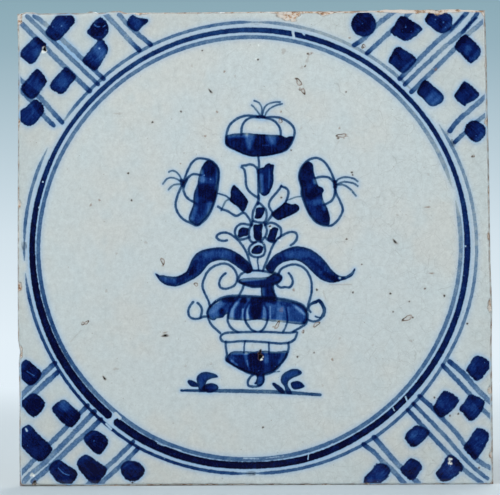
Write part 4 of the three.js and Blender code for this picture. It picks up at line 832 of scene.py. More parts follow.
VASE = [
    # lip
    line([(-4.2, -9), (-3.7, -7.6), (-2.6, -6.8), (-1.4, -6.5), (1.4, -6.3), (3.5, -6.6),
        (7.2, -7.5), (7.8, -8.3), (7.2, -9.4), (6, -10), (2, -10.7), (0, -10.8), (-3, -9.9)],
        closed=True),
    # neck
    line([(-2.6, -10), (-3, -11.4), (-3.7, -12.7), (-4, -13.4)]),
    line([(5.4, -10.2), (5.6, -12.2), (6.5, -14.1)]),
    # bowl
    line([(-9.2, -23.4), (-11.2, -21.6), (-12.1, -20.3), (-12.6, -18.8), (-12.7, -17.6),
        (-12.2, -16.5), (-11.2, -15.4), (-9.8, -14.3), (-8, -13.5), (-6, -13.2), (0, -13.4),
        (8.4, -14.2), (10.5, -14.7), (12.6, -15.4), (13.7, -16), (14.4, -17), (14.9, -18.4),
        (14.9, -19.8), (14.4, -21), (10.8, -23.2)]),
    # ribs of the bowl
    line([(-5.4, -15), (-6.4, -16.6), (-7, -18.4), (-7.1, -20), (-6.5, -21.6), (-5.3, -22.7),
        (-4.2, -23.2)]),
    line([(-1.2, -15.2), (-2.1, -16.8), (-2.5, -18.6), (-2.3, -20), (-1.6, -21.3), (-0.6, -22.5),
        (0.6, -23.1)]),
    line([(3, -15.4), (3.7, -17), (3.95, -18.8), (3.8, -20.2), (3.3, -21.5), (2.6, -22.5),
        (1.8, -23.1)], 0.6),
    line([(8.6, -16), (9.2, -17.8), (9.35, -19.8), (8.9, -21.7), (8.1, -23.2)], 0.6, 0.56),
    # collar
    line([(12, -23.4), (9.1, -23.5), (3.1, -23.2), (-5.9, -23.3), (-7.9, -23.5), (-9, -24.2),
        (-9.1, -25), (-8.3, -25.8), (-2.9, -25.7), (3.1, -26), (7.1, -26.4), (9.1, -26.3),
        (10.5, -25.9), (11.4, -25.1), (11.8, -24.1)], closed=True),
    # foot
    line([(-7.7, -25.8), (-7.7, -27), (-7.4, -29.4), (-7.6, -30.8), (-6, -32), (-2, -34.2),
        (0, -34.8), (1.5, -35), (3.4, -34.8), (5, -34.3), (6.4, -33.2), (8, -31.3), (9, -29.8),
        (9.6, -27.6), (9.5, -26.2)]),
    line([(5, -34.4), (7.1, -34.05)], 0.3, 0.5),
    line([(0.45, -37.3)], 0.7, 0.8),
    line([(-2.4, -25.7), (-2.6, -27), (-2.7, -28.9)], 0.5),
    line([(4.1, -26), (4.2, -27.5), (4.2, -28.9)], 0.5),
    # knob under the foot
    line([(0.1, -34.7), (-0.9, -35.5), (-1.6, -36.5), (-1.7, -37.5), (-1.4, -38), (-0.4, -38.2),
        (1.1, -38.1), (1.9, -37.8)]),
]

HANDLES = [
    line([(-12, -16), (-12.4, -14.6), (-13.6, -12), (-14, -10.6), (-13.9, -9.4), (-13.4, -8),
        (-12.8, -6.8), (-12, -5.9), (-10.8, -5), (-9.4, -4.5), (-8.3, -4.3), (-7.2, -4.4),
        (-6, -5.1), (-5, -6.2), (-4.5, -7.4), (-4.4, -8.6), (-4.7, -9.6), (-5.4, -10.5),
        (-6.8, -11.1), (-8.2, -11.2), (-9.1, -10.8), (-9.4, -9.8), (-9.1, -8.6), (-8.5, -7.7),
        (-7.6, -7)]),
    line([(-12.5, -18.9), (-13.8, -18.9), (-14.8, -19.3), (-16, -19.5), (-17.2, -19.2),
        (-17.9, -18.3), (-17.9, -17), (-17.4, -15.8), (-16.6, -14.8)]),
    line([(-15.4, -15.1), (-14.6, -15.9), (-14.2, -17.1), (-14.6, -19.1)]),
    line([(9.8, -7.1), (10.5, -8), (10.9, -9.2), (10.7, -10.2), (9.9, -11), (8.8, -10.9),
        (7.6, -11), (6.7, -10.5), (6.2, -9.8)]),
    line([(7, -7.4), (7.4, -6.3), (8.2, -5.6), (9.2, -5.1), (10.8, -4.7), (12.2, -4.8),
        (13.4, -5.3), (14.6, -6.3), (15.5, -7.8), (16, -9.4), (16.1, -11), (16, -12.6),
        (14.6, -17.4)]),
    line([(15.7, -17.8), (15.2, -17.1), (15.4, -16.1), (16.2, -15.4), (17.2, -15.1), (18, -14.7),
        (18.9, -15.7), (19.5, -17.1), (19.4, -18.2), (18.8, -19.2), (18, -20), (16.8, -20.4),
        (15.6, -20.2), (14.7, -19.6)],
        [0.6, 0.6, 0.65, 0.8, 0.95, 0.95, 1, 1.05, 1.05, 0.9, 0.7, 0.6, 0.6, 0.6],
        [0.62, 0.62, 0.62, 0.75, 0.85, 0.85, 0.8, 0.66, 0.64, 0.64, 0.62, 0.6, 0.6, 0.6]),
    line([(17, -19), (17.7, -19.3), (18.4, -19.4)], 0.45),
]

lay("bouquet_outlines", [*TOP_FLOWER, *TULIP, *BERRY_OUTLINES, *STEMS, *BUD_OUTLINES,
                         *LEFT_FLOWER, *RIGHT_FLOWER])
lay("vase_outlines", [*VASE, *HANDLES])

# %% Washes
WASHES = {  # strength and outline
    "top_flower_wash": (0.96, [(-7.3, 31), (-5.8, 31.5), (-3.3, 31.7), (-1.5, 31.8), (0.5, 31.5),
        (2.4, 31.4), (7, 31.1), (8, 31), (9.4, 30.4), (10.2, 30.7), (11.3, 30.6), (10.2, 28),
        (9.4, 27.05), (7, 26), (5, 25.6), (0.2, 25.2), (-3.4, 26.25), (-7, 28.4), (-7.4, 29),
        (-7.4, 30)]),
    "left_flower_wash": (0.8, [(-12.6, 24.2), (-11.4, 24.1), (-10.4, 23.3), (-9.6, 22.2),
        (-9.2, 20.9), (-9.2, 19.5), (-9.7, 17.5), (-10.3, 13.6), (-12.2, 9.2), (-13.4, 7.8),
        (-15.2, 6.3), (-16.8, 7), (-17.7, 8), (-16.4, 12.4), (-16.3, 14.8), (-15.2, 18),
        (-14.8, 20.2), (-13.8, 22.8)]),
    "right_flower_wash": (0.8, [(15.2, 23.7), (16.2, 23.4), (16.7, 22.7), (16.8, 21.4),
        (17.8, 17.8), (18.3, 16.9), (19.2, 16.5), (19.6, 15.7), (19.2, 14.8), (19.3, 13.6),
        (20.9, 9.8), (21.2, 8.2), (21, 6.2), (20.2, 6), (18.6, 6.4), (17.2, 7.3), (16, 8.7),
        (15, 10.4), (13.8, 13.9), (13.5, 15.2), (13.5, 16.5), (12.85, 19), (12.9, 20.4),
        (13.4, 21.8), (14.2, 23)]),
    "tulip_petal": (0.9, [(1.4, 20.3), (1.7, 21.7), (3.1, 22.3), (3.8, 23), (4.6, 23.3), (5.1, 23),
        (5.9, 22.9), (5.7, 21), (5.8, 19), (5.6, 17.6), (4.5, 15), (3.8, 14.5), (3.1, 14.3),
        (2.4, 14.7), (1.9, 15.4), (1.7, 17.5)]),
    "bud_left": (0.95, [(-5.2, 17.4), (-2.4, 14.6), (-1.7, 13.6), (-1.3, 12.7), (-1.6, 11.7),
        (-2.4, 10.2), (-2.9, 10.1), (-4, 11.4), (-5.5, 12.3), (-6.3, 13.1), (-6, 14.6),
        (-6.1, 15.6), (-5.6, 17)]),
    "bud_right": (0.95, [(8.7, 12.4), (10.8, 11.9), (11.9, 12), (12.6, 11.5), (12.8, 11),
        (12.7, 10.3), (8.8, 8.2), (6.9, 7.6), (6.2, 8), (5.2, 9.2), (7.6, 11.3)]),
    "leaf_left": (0.82, [(-26.9, -7), (-25.9, -7.5), (-24.8, -7.5), (-23.4, -7.8), (-21.9, -7.95),
        (-20.6, -7.7), (-18.4, -6.5), (-16.6, -2.8), (-15.6, -1.6), (-14, -0.7), (-12, -0.2),
        (-10, 0.05), (-8.5, 0.1), (-7, -0.3), (-5.5, -0.9), (-3, -2.5), (-0.4, -5.4), (-0.6, -6.6),
        (-1.6, -7), (-2.8, -6.3), (-6.2, -3.8), (-7.5, -3.3), (-9, -3.2), (-10.8, -3.5),
        (-12.2, -4.2), (-14.4, -6.8), (-15.6, -7.8), (-18.6, -9.4), (-20.3, -10.1), (-22, -10.35),
        (-23.6, -10.1), (-25, -9.4), (-26, -8.4)]),
    "leaf_right": (0.82, [(3.6, -5.6), (4.9, -3.3), (6, -2.2), (9, -0.6), (11.6, 0.2), (13.2, 0.1),
        (16.2, -0.9), (18.8, -2.9), (22, -6.8), (23.5, -7.9), (24.6, -8.2), (25.8, -8), (27, -7.2),
        (28, -6), (27.5, -7.4), (26.4, -8.3), (22.2, -9.65), (21, -9.6), (19.6, -9.2), (18.2, -8.4),
        (14.6, -4.9), (13.4, -4), (12.2, -3.5), (10.8, -3.4), (9.2, -3.7), (7.8, -4.2), (6.6, -5.1),
        (5, -7)]),
    "vase_neck_wash": (0.9, [(-3.9, -9), (-3.1, -8.5), (4, -8), (5.8, -7.2), (7.6, -7.7), (8, -8.3),
        (7, -9.6), (5.7, -10.1), (5.3, -11), (6.2, -14.1), (4.6, -14.2), (2.4, -13.6), (2.1, -12.2),
        (2, -10.9), (0, -10.8), (-3.7, -9.7)]),
    "vase_bowl_wash": (0.68, [(-12.7, -17.2), (-11.3, -15.4), (-9.8, -14.4), (-8, -13.7),
        (-6, -13.4), (3, -13.7), (6.4, -14.2), (8.4, -14.3), (10.5, -14.8), (12.6, -15.5),
        (13.7, -16.1), (14.4, -17), (14.8, -18.4), (14.8, -19.8), (14.2, -21), (13.4, -21.2),
        (9, -20.7), (4, -20.2), (2.4, -19.9), (-0.4, -19.9), (-2, -20.1), (-3.4, -19.9),
        (-5.6, -19.8), (-7, -19.5), (-7.2, -18.2), (-8, -18.6), (-8.3, -19.1), (-9.2, -19.3),
        (-10.1, -19.4), (-10.8, -19.9), (-11.6, -19.8), (-12.6, -18.8)]),
    "vase_foot_wash": (0.93, [(-7.7, -30.8), (-7.3, -29.9), (-6, -28.6), (-3, -28.5), (0, -28.6),
        (3, -28.4), (6, -28.7), (9.2, -28.6), (9.1, -29.6), (8.5, -30.8), (7.4, -32.2), (5, -34.2),
        (3.2, -34.8), (2.9, -35.2), (3, -36.4), (2.5, -37.5), (1.6, -38.1), (0.9, -37.8),
        (0.6, -37), (0.8, -35.6), (0.4, -34.9), (-2, -34.3), (-7.5, -31.3)]),
}
WASH_GROWTH = {"leaf_left": 0.16, "leaf_right": 0.16}  # the leaves' blue spread further
WASH_TOUCHES = {  # points, width and change of strength
    "top_flower_wash": [
        ([(-6.4, 31.4), (-2, 31.5)], 1.8, -0.28),
        ([(-0.6, 31.4), (-0.8, 29.8), (-0.8, 27.8)], [2.8, 2.2, 1.0], -0.34),
        ([(5.4, 31.6), (5.4, 30.6), (5.4, 29.4)], [3.4, 2.9, 1.8], -0.36),
        ([(2.8, 28.3), (4.6, 28.3)], 0.2, -0.3),
    ],
    "left_flower_wash": [
        ([(-12.2, 22.6), (-11.6, 21.4)], 3.6, 0.17), ([(-13.2, 16), (-11.7, 14.5)], 4.8, 0.17),
        ([(-14.1, 12.4), (-14.6, 10.6)], 2.2, 0.13), ([(-14.4, 21.2), (-13.9, 18.9)], 1.5, -0.25),
        ([(-11.6, 12.4), (-12.3, 9.8)], 1.2, -0.16), ([(-15.8, 11), (-16.7, 8.2)], 1.1, -0.16),
        ([(-9.9, 22), (-9.6, 19), (-10.2, 16.4)], 0.8, -0.12),
    ],
    "right_flower_wash": [
        ([(15, 22.4), (14.8, 18.6)], 3.6, 0.17), ([(18, 15.8)], 3.4, 0.18),
        ([(14.4, 15.4), (16.4, 14.2)], 2.8, 0.16), ([(18.8, 10.4), (20, 8)], 3, 0.17),
        ([(17.1, 18.6), (17.3, 17.8)], 1.1, -0.22), ([(16.6, 12.4), (18.8, 12.4)], 1.6, -0.1),
        ([(19.7, 12.8), (19.7, 10.6)], 1.1, -0.2),
    ],
    "tulip_petal": [([(2.4, 20), (2.4, 15.6)], 1.1, -0.28), ([(4.7, 21), (4.5, 16.4)], 0.4, -0.14)],
    "leaf_left": [
        ([(-25.3, -8.2), (-22, -8.8)], 1.5, -0.14), ([(-20.5, -8.9), (-16.5, -6)], 1.8, 0.1),
        ([(-13, -1.8), (-7, -1.5)], 1.6, -0.12), ([(-4.4, -3), (-1.2, -6.2)], 1.8, 0.15),
        ([(-15.6, -3.6), (-17.4, -7)], 1.0, 0.1),
    ],
    "leaf_right": [
        ([(9.5, -1.9), (14.5, -2)], 1.8, -0.12), ([(4.4, -5.6), (7, -3.4)], 1.8, 0.13),
        ([(20, -7.4), (22.8, -9)], 1.6, 0.15), ([(23.8, -8.5)], 0.7, -0.6),
        ([(25.5, -8.4), (27.6, -6.9)], 0.6, -0.2), ([(15.4, -3), (19, -6)], 0.8, 0.1),
    ],
    "vase_neck_wash": [
        ([(-3, -8.9), (3.2, -8.3)], 1.0, -0.4), ([(2.6, -11.4), (2.9, -13.4)], 0.8, -0.16),
    ],
    "vase_bowl_wash": [
        ([(-8, -14.3), (-5, -14.1), (-2.6, -14.3)], 1.5, 0.26),
        ([(0.2, -14.4), (3.6, -14.2), (5.6, -14.7)], 1.8, 0.3),
        ([(8, -15.4), (11, -15.8)], 1.4, 0.18),
        ([(12.2, -15.7), (14.2, -17.4), (14.5, -19.6), (13.9, -20.8)], 1, 0.2),
        # left panel
        ([(-11.8, -17.4), (-9.4, -15.6)], 1.8, -0.14), ([(-11.2, -15.8), (-9.6, -14.9)], 0.3, -0.2),
        ([(-5.6, -14.8), (-7, -16), (-8.4, -17.6)], 1.6, 0.12),
        ([(-8.9, -17.4), (-8.7, -18.4)], 1.7, 0.22),
        # second panel: a pale crescent along the rib, then a dark stroke
        ([(-3.5, -14), (-4.9, -15.6), (-5.8, -17.2), (-6.1, -19.4)], [0.5, 0.7, 0.9, 1.3], -0.28),
        ([(-2.9, -15), (-3.9, -17), (-4.4, -19)], 1.8, 0.2),
        ([(-2.9, -17), (-2.9, -19.8)], 0.6, -0.28),
        # middle panel
        ([(-1.1, -15.5), (-1.8, -17.2), (-1.6, -19.4)], [0.3, 0.6, 0.9], -0.3),
        ([(0.9, -15.4), (0.6, -18.2)], 3.3, 0.34), ([(3.1, -16.6), (2.9, -19.6)], 0.9, -0.22),
        # right panels
        ([(4.6, -16.2), (4.6, -19.6)], 0.4, -0.22), ([(7.4, -17.4), (7.2, -20)], 1.8, -0.12),
        ([(4.4, -20.1), (9, -20.5)], 0.8, -0.24), ([(9.8, -20.5), (12.6, -20.7)], 0.6, -0.2),
        ([(9.5, -16.4), (9.7, -19.8)], 0.3, -0.15),
        ([(11, -15.9), (12.5, -17), (14, -18.4)], [0.4, 0.9, 0.7], -0.26),
        ([(11.2, -17.8), (12, -19.6)], 2, 0.08), ([(5.6, -19)], 1.2, 0.1),
    ],
    "vase_foot_wash": [
        ([(-6, -28.9), (-1.6, -28.9)], 1.0, -0.32), ([(-1, -28.7), (9, -28.8)], 0.6, -0.3),
        ([(-2.2, -29.2), (-2, -31), (-1.3, -33.4)], [1.1, 0.8, 0.3], -0.22),
        ([(-1.9, -31), (-1.6, -32.6)], 0.3, -0.25), ([(-6.6, -29.9), (-5.6, -30.6)], 1.4, -0.14),
        ([(-6.1, -31.1), (-4.7, -32.2)], 0.6, -0.34), ([(3.4, -29), (3.4, -31.2)], 1.2, -0.2),
        ([(8.2, -29.6), (7.4, -31.4)], 1.3, -0.2), ([(0.5, -30), (1.4, -34.2)], 2.6, 0.07),
        ([(1.6, -36), (1.5, -37.2)], 1.4, -0.24),
    ],
}

for name, (strength, outline) in WASHES.items():
    lay(name, [patch(outline, strength, WASH_GROWTH.get(name, PATCH_GROWTH),
                     WASH_TOUCHES.get(name, ()))])

# %% Berries and ground
BERRY_TONE, TUFT_TONE = 0.95, 0.78
BERRIES = [
    [(0.9, 10.8), (1.5, 11.1), (3.1, 11), (3.3, 10.6), (3.1, 9.7), (2.7, 8.8), (2.2, 8.2),
        (0.5, 8.2), (0.8, 9.4)],
    [(-3.7, 5.1), (-3, 5.6), (-2.2, 5.6), (-1.2, 5.2), (-1.3, 4.4), (-1.5, 3.4), (-2.6, 3.2),
        (-3.9, 2.9), (-4.1, 3.9)],
    [(0.3, 6.3), (1.2, 6.4), (2.6, 6.5), (2.8, 6), (2.4, 4.9), (2.5, 3.6), (2.3, 2.2), (1.2, 2),
        (0.4, 2.5), (0.2, 4)],
    [(4.7, 4.8), (5.1, 5.3), (5.8, 5.6), (7, 5.2), (6.8, 4.4), (6.4, 3.2), (5.9, 1.8), (5.1, 1.6),
        (4, 2), (4.4, 3.9)],
    [(-0.1, -0.2), (0.6, 0.5), (1.9, 0.7), (2.7, 0.2), (2.5, -1), (1.9, -1.6), (0.6, -1.7),
        (-0.3, -1.5), (-0.5, -1)],
]

GROUND = [
    line([(-20, -39.15), (-10, -39.3), (0, -39.5), (9, -39.9), (18.2, -40.6)],
         [0.65, 1.0, 1.1, 1.05, 0.85], [0.76, 0.6, 0.56, 0.58, 0.66]),
    patch([(-9.9, -35.5), (-10.3, -34.9), (-12.4, -34.2), (-13.6, -34.1), (-14.8, -34.5),
          (-15.6, -35.3), (-15.8, -36.3), (-15.5, -37.6), (-14.9, -39.4), (-13.8, -39.4),
          (-13.3, -37.2), (-12.6, -36.3), (-11.4, -35.8)], TUFT_TONE),
    patch([(-13.6, -37.7), (-12.4, -37.3), (-11.2, -37.3), (-10, -37.9), (-9.8, -38.7),
          (-11.4, -39.7), (-12.8, -39.8), (-14.4, -38.8)]),
    patch([(-18.3, -36.6), (-17.8, -36.3), (-16.8, -36.5), (-15.6, -37.3), (-15.3, -38.1),
          (-16.4, -38.2), (-17.4, -37.9), (-18.1, -37.3)]),
    patch([(13.2, -34.6), (12.9, -34), (12, -33.5), (10.6, -33.5), (9.2, -34), (8, -34.9),
          (7.4, -36), (7.6, -37.2), (8.4, -38.3), (9, -40.2), (10.4, -40.2), (9.3, -37.8),
          (9.5, -36.8), (10.2, -36.2), (11.4, -35.6), (12.6, -35.1)], TUFT_TONE),
    patch([(5, -37.4), (5.5, -37.2), (6.6, -37.8), (7.9, -38.8), (8.5, -40.1), (7.6, -40.2),
          (6.6, -39.4), (5.6, -38.4)]),
]

GRASS_DAB = [(10.2, -37.2), (11, -36.9), (12.2, -36.8), (13.2, -37.3), (13.9, -38.2),
             (12.8, -38.8), (11.2, -39), (10.4, -38.5)]

lay("berries", [patch(outline, BERRY_TONE) for outline in BERRIES])
lay("ground_and_grass", [*GROUND, patch(GRASS_DAB)])
print("lays of colour:", len(lays))

# %% [markdown]
# ## Kiln marks
#
# Gas bubbles burst in the glaze as it melted, and iron in the clay stained their rims. The marks
# are worked out on the same grid as the painting, in three strengths: brown rust; black soot,
# which inside the nail holes is painted shade; and white, which is a painted highlight on the lit
# rims of pits and nail holes and the pale middle of an open blister. A wobble on each radius
# keeps them from looking like punched holes.

# %% Spots
SPOT_SEED = 7
SPOT_SOFTNESS = 0.14
SPOT_WOBBLE = 0.16  # share of the radius
SPOT_RIM = 0.14  # half the width of a blister's rim
SPOT_MARGIN, SCRATCH_MARGIN = 0.4, 0.2
SPOT_ROOM = SPOT_MARGIN + 0.2  # a spot's colours are worked out this far past its size
SCRATCH_RUST = 0.35
SPOTS = {  # x, z, radius, and for a long mark its stretch and its tilt in degrees
    "ring": [  # a blister's open brown rim
        (13, 45.7, 0.48, 2.2, -54), (14.2, 43.2, 0.36, 2.3, -67), (24.7, 30.8, 0.5, 2.2, 6),
        (-24.95, -3.5, 0.42, 1.9, 100), (-47.1, -20.55, 0.36), (-46.1, -20.3, 0.36, 1.5, 40),
        (17.3, -21.2, 0.46, 1.8, 35), (13.6, -23.2, 0.26, 1.3, 90), (42.3, -19.7, 0.55, 2.2, 18),
        (7.8, 35, 0.45, 1.2, -45), (6.5, -21.4, 0.42, 2.2, 60), (30.9, 55.5, 0.4, 1.4, 80),
        (60.8, 24.8, 0.25, 1.4, 0), (-15.8, -10, 0.45), (13.3, 43.8, 0.3),
    ],
    "rust": [
        (23.7, 30.1, 0.3, 1.3, 20), (25.85, 30.7, 0.2, 2.2, -20), (25.3, 30.05, 0.17),
        (41.2, -20.2, 0.32, 1.5, 50), (43.7, -19.5, 0.24, 1.5, -40), (12.2, 46.7, 0.3),
        (48.15, 10.85, 0.2, 3.4, 8), (11.1, -11.7, 0.35), (47.2, -11.6, 0.28),
        (49.1, -7.4, 0.2, 3, 5), (15.6, 53.6, 0.32, 1.3, -20), (16.5, 53.7, 0.25, 1.4, 30),
        (14.75, 50.15, 0.25, 1.3, 60), (8, 37.6, 0.26), (-24.9, -4.7, 0.27), (21.6, -30.9, 0.35),
        (-44.8, 12.2, 0.22, 2, 70), (-42.4, 13.5, 0.28), (-19.9, 23.45, 0.2), (-7.6, 48.9, 0.3),
        (24.1, 32.9, 0.2, 1.6, 80), (50.8, 48.9, 0.35), (27.1, 57.9, 0.28), (5.4, -21.8, 0.2),
        (-9.7, 37.7, 0.3), (-13, 31, 0.3), (-24.4, -23.2, 0.16, 3.4, 20),
    ],
    "faint": [
        (7.7, -17.2, 0.7), (48.5, 19.8, 0.4), (39.8, 8.7, 0.4), (62.2, 3.2, 0.4), (48.8, 12.6, 0.3),
        (43.2, -25.9, 0.5), (23.7, -25.1, 0.4), (-37.7, -1.3, 0.4), (-18.8, -32.5, 0.4),
        (33.6, -30.6, 0.25), (-11.7, -31.8, 0.4), (-16.6, 50.5, 0.4), (-29.6, 1.7, 0.5),
        (-4.7, 47.6, 0.4), (-18.9, 26.4, 0.3), (13.6, 33, 0.4), (8.8, 54.4, 0.8),
        (-37.1, 37.5, 0.4, 3, 5), (13.8, 49.8, 0.5), (-40.6, -11.6, 0.5), (18.9, -38, 0.4),
        (2, 33.2, 0.35), (-38.1, -33.1, 0.5, 1.6, 0), (50.8, 48.9, 0.6), (15.4, 52, 0.5, 2.4, 75),
        (26.1, 60.1, 0.25), (32.8, -27, 0.35), (52.5, 12, 0.25),
    ],
    # black specks, and painted shade inside the nail holes
    "soot_and_hole_shade": [
        (-24.4, -24.05, 0.27, 3, 5), (-41.2, -35.65, 0.26, 2, -45), (-11.5, 43.45, 0.22, 2.4, -45),
        (-27.6, 35, 0.22), (-19.7, 37.9, 0.2), (-34.4, 20.9, 0.22), (-33.5, 13.4, 0.2),
        (39.1, 1.4, 0.22, 3, -45), (37.7, -12.9, 0.22), (-13.7, 54.8, 0.15), (1.7, 52.1, 0.22),
        (26, 42.9, 0.14), (12.2, 46.7, 0.17), (60.6, 24.8, 0.14), (27.4, 20.6, 0.22),
        (27.6, 19.9, 0.16), (17.5, -11.7, 0.24), (15.5, 53.6, 0.18), (27.4, -12.5, 0.2),
        (52.5, -13.6, 0.25), (12, -30.1, 0.2), (16.6, -29, 0.13), (23.7, 30.1, 0.17),
        (58.7, -21.3, 0.22), (29.9, -4.8, 0.13), (25.8, 2.2, 0.2), (41.1, -20.2, 0.2),
        (42.9, -15.1, 0.14), (2.4, -49.4, 0.2), (56, -46, 0.2), (53.7, -46.5, 0.18),
        (49.5, -41.5, 0.2), (43.8, -19.5, 0.15), (61.5, -60.8, 0.2), (-33.6, -64.4, 0.25),
        (7.9, 13.8, 0.2), (4.7, 5.9, 0.25), (38.4, -17.9, 0.14), (1.8, -28.4, 0.36),
        (1.6, -29, 0.36), (1.8, -30, 0.64), (-60.5, -64.3, 0.6), (10.7, 26.9, 0.15),
        (-57.5, 55.6, 0.6), (53.8, -59.3, 0.16), (30.8, 55.3, 0.2), (14.7, 50.1, 0.13),
        (47.2, -11.6, 0.15),
    ],
    # painted highlights: light caught on the rims of pits and nail holes
    "highlight": [
        (1.9, 56.1, 0.25), (7.4, 2, 0.25), (4.9, 5.4, 0.2), (1.2, 52.3, 0.25),
        (2.1, -30.75, 0.32), (2.5, -30.1, 0.2), (-57.6, 55.3, 0.8), (53.6, -59.4, 0.5),
        (53.6, -58.4, 0.5), (-61.2, -62.1, 0.6),
    ],
}
SCRATCHES = [  # points and width of rusty threads in the glaze
    ([(19.3, -12), (19.5, -13.2), (20, -14.3)], 0.18), ([(23.3, 28.2), (24, 29.5)], 0.12),
    ([(-50.5, -25.5), (-47.6, -22.4)], 0.1), ([(21, -10.3), (27, -10.3)], 0.3),
]

spot_edge = np.full_like(paint_edge, FAR)
spot_rust, spot_soot_and_hole_shade, spot_highlight_and_pale = (np.zeros_like(paint_edge) for _ in range(3))
chance = np.random.default_rng(SPOT_SEED)


def soft(gap):
    """One inside, none outside, and a soft step between."""
    return np.clip(0.5 + gap / (2 * SPOT_SOFTNESS), 0, 1)


def spot(kind, x, z, size, stretch=1, tilt=0):
    """Adds one kiln mark to the grids."""
    where, gx, gz = window(np.array([(x, z)]), size * stretch + SPOT_ROOM)
    c, s = math.cos(math.radians(tilt)), math.sin(math.radians(tilt))
    along, across = ((gx - x) * c + (gz - z) * s) / stretch, (gz - z) * c - (gx - x) * s
    turn = np.arctan2(across, along)
    a, b = chance.uniform(0, math.tau, 2)
    wobble = 1 + SPOT_WOBBLE * np.sin(2 * turn + a) + SPOT_WOBBLE * np.sin(3 * turn + b)
    gap = size * wobble - np.hypot(along, across)
    side = 0.5 + 0.5 * np.sin(turn + b)
    rim = np.clip(1.25 - np.abs(gap) / SPOT_RIM, 0, 1)
    shares = {  # of rust, of soot and painted shade, and of painted highlight and pale
        "ring": (rim * (0.6 + 0.4 * side) + 0.26 * soft(gap), 0.8 * rim * side ** 2,
                 0.15 * soft(gap - 0.1)),
        "rust": (0.75 * soft(gap), 0, 0), "faint": (0.28 * soft(gap - 0.1), 0, 0),
        "soot_and_hole_shade": (0.5 * soft(gap + 0.12), soft(gap), 0), "highlight": (0, 0, soft(gap)),
    }[kind]
    for grid, new in zip((spot_rust, spot_soot_and_hole_shade, spot_highlight_and_pale), shares):
        grid[where] = np.maximum(grid[where], new)
    spot_edge[where] = np.maximum(spot_edge[where], gap + SPOT_MARGIN)


for kind, places in SPOTS.items():
    for place in places:
        spot(kind, *place)
for points, width in SCRATCHES:
    where, edge, _ = line(points, width)
    spot_rust[where] = np.maximum(spot_rust[where], SCRATCH_RUST * soft(edge))
    spot_edge[where] = np.maximum(spot_edge[where], edge + SCRATCH_MARGIN)
lays["glaze_pits"] = (0, 0, spot_edge)
print("kiln marks:", sum(len(places) for places in SPOTS.values()))

# %% [markdown]
# The grids are finished now, and every mesh that is cut from the painting reads them with the
# same function. The run of blue into the glaze is kept as a distance, not as a strength, because
# a distance still reads right between the points of a coarse mesh.

# %% Numbers that ride on the meshes
BLEED_FLOOR = 0.01
BARE_EDGE = -0.3  # the glaze skin counts as this far outside every mark, or further

GRIDS = {
    "paint_edge": np.clip(paint_edge, -BLEED_REACH, 1.0),
    "paint_tone": np.clip(np.maximum(1 - paint_clear, near_tone), 0, 1),
    "paint_bleed": BLEED_LENGTH * np.log(np.maximum(1 - bleed_clear, BLEED_FLOOR)),
    "spot_rust": spot_rust, "spot_soot_and_hole_shade": spot_soot_and_hole_shade, "spot_highlight_and_pale": spot_highlight_and_pale,
}


def carry(mesh, x, z, bare=False):
    """Gives each point of a mesh the painting's numbers at its place. Bare glaze has no paint."""
    for name, grid in GRIDS.items():
        values = sample(grid, x, z)
        if bare and name == "paint_edge":
            values = np.minimum(values, BARE_EDGE)
        if bare and name.startswith("spot"):
            values = np.zeros_like(values)
        mesh.attributes.new(name, "FLOAT", "POINT").data.foreach_set(
            "value", values.astype(np.float32))


def new_mesh(name, points, faces):
    """A mesh from millimetres and lists of corners. Every face has four corners."""
    mesh = bpy.data.meshes.new(name)
    mesh.vertices.add(len(points))
    mesh.vertices.foreach_set("co", (np.asarray(points) * MM).astype(np.float32).ravel())
    faces = np.asarray(faces, np.int32)
    mesh.loops.add(faces.size)
    mesh.loops.foreach_set("vertex_index", faces.ravel())
    mesh.polygons.add(len(faces))
    starts = np.arange(0, faces.size, faces.shape[1], dtype=np.int32)
    mesh.polygons.foreach_set("loop_start", starts)
    mesh.update(calc_edges=True)
    return mesh


def new_piece(name, mesh, sharp=40):
    """An object in the scene with smooth faces and sharp creases."""
    mesh.shade_smooth()
    mesh.set_sharp_from_angle(angle=math.radians(sharp))
    piece = bpy.data.objects.new(name, mesh)
    bpy.context.scene.collection.objects.link(piece)
    return piece


print({name: (round(float(grid.min()), 2), round(float(grid.max()), 2))
       for name, grid in GRIDS.items()})

# %% [markdown]
# ## The edge of the tile
#
# The tile was cut by hand round a wooden square, so no side is straight. Each side is a short
# table of how far it really reaches. Clay and glaze both follow these tables, and their ragged
# edges add finer noise to them.

# %% The outline
HALF = 65.2  # from the middle to the side before the tables push it
EDGE_TABLES = {  # place along the side, and how far out the side reaches there
    "left": [(-64, 64.6), (-55.3, 64.7), (-41.5, 64.6), (-31, 64.8), (-28.3, 64.45), (-25, 65),
             (-13.9, 65.06), (13.8, 65), (41.5, 64.8), (52.7, 64.75), (65, 65)],
    "right": [(-65, 65.2), (-25.8, 65.2), (-17.6, 65.45), (-3.9, 65.1), (23.7, 65),
              (40.3, 64.75), (51.4, 64.7), (64.7, 64.4)],
    "bottom": [(-64, 65), (-42.5, 65.2), (-26, 65.05), (15.2, 65.25), (45.3, 65.4), (65, 65.4)],
    "top": [(-64.6, 65.5), (-63, 65.95), (-60.6, 65.9), (-59.6, 65.55), (-46.4, 65.55), (-44.8, 66),
            (-42.6, 65.55), (-40.6, 65.6), (-39, 65.95), (-36.6, 66.05), (-35.2, 65.5),
            (-19.8, 65.4), (25.9, 65.35), (34, 65.4), (49.4, 65.25), (60, 65.3), (64, 65.1)],
}
WARP_DEPTH = 4.2  # how far in from the side the tables are felt


def reach(side, along):
    """How far a side lies beyond HALF, at places along it."""
    table = np.array(EDGE_TABLES[side])
    return np.interp(along, table[:, 0], table[:, 1]) - HALF


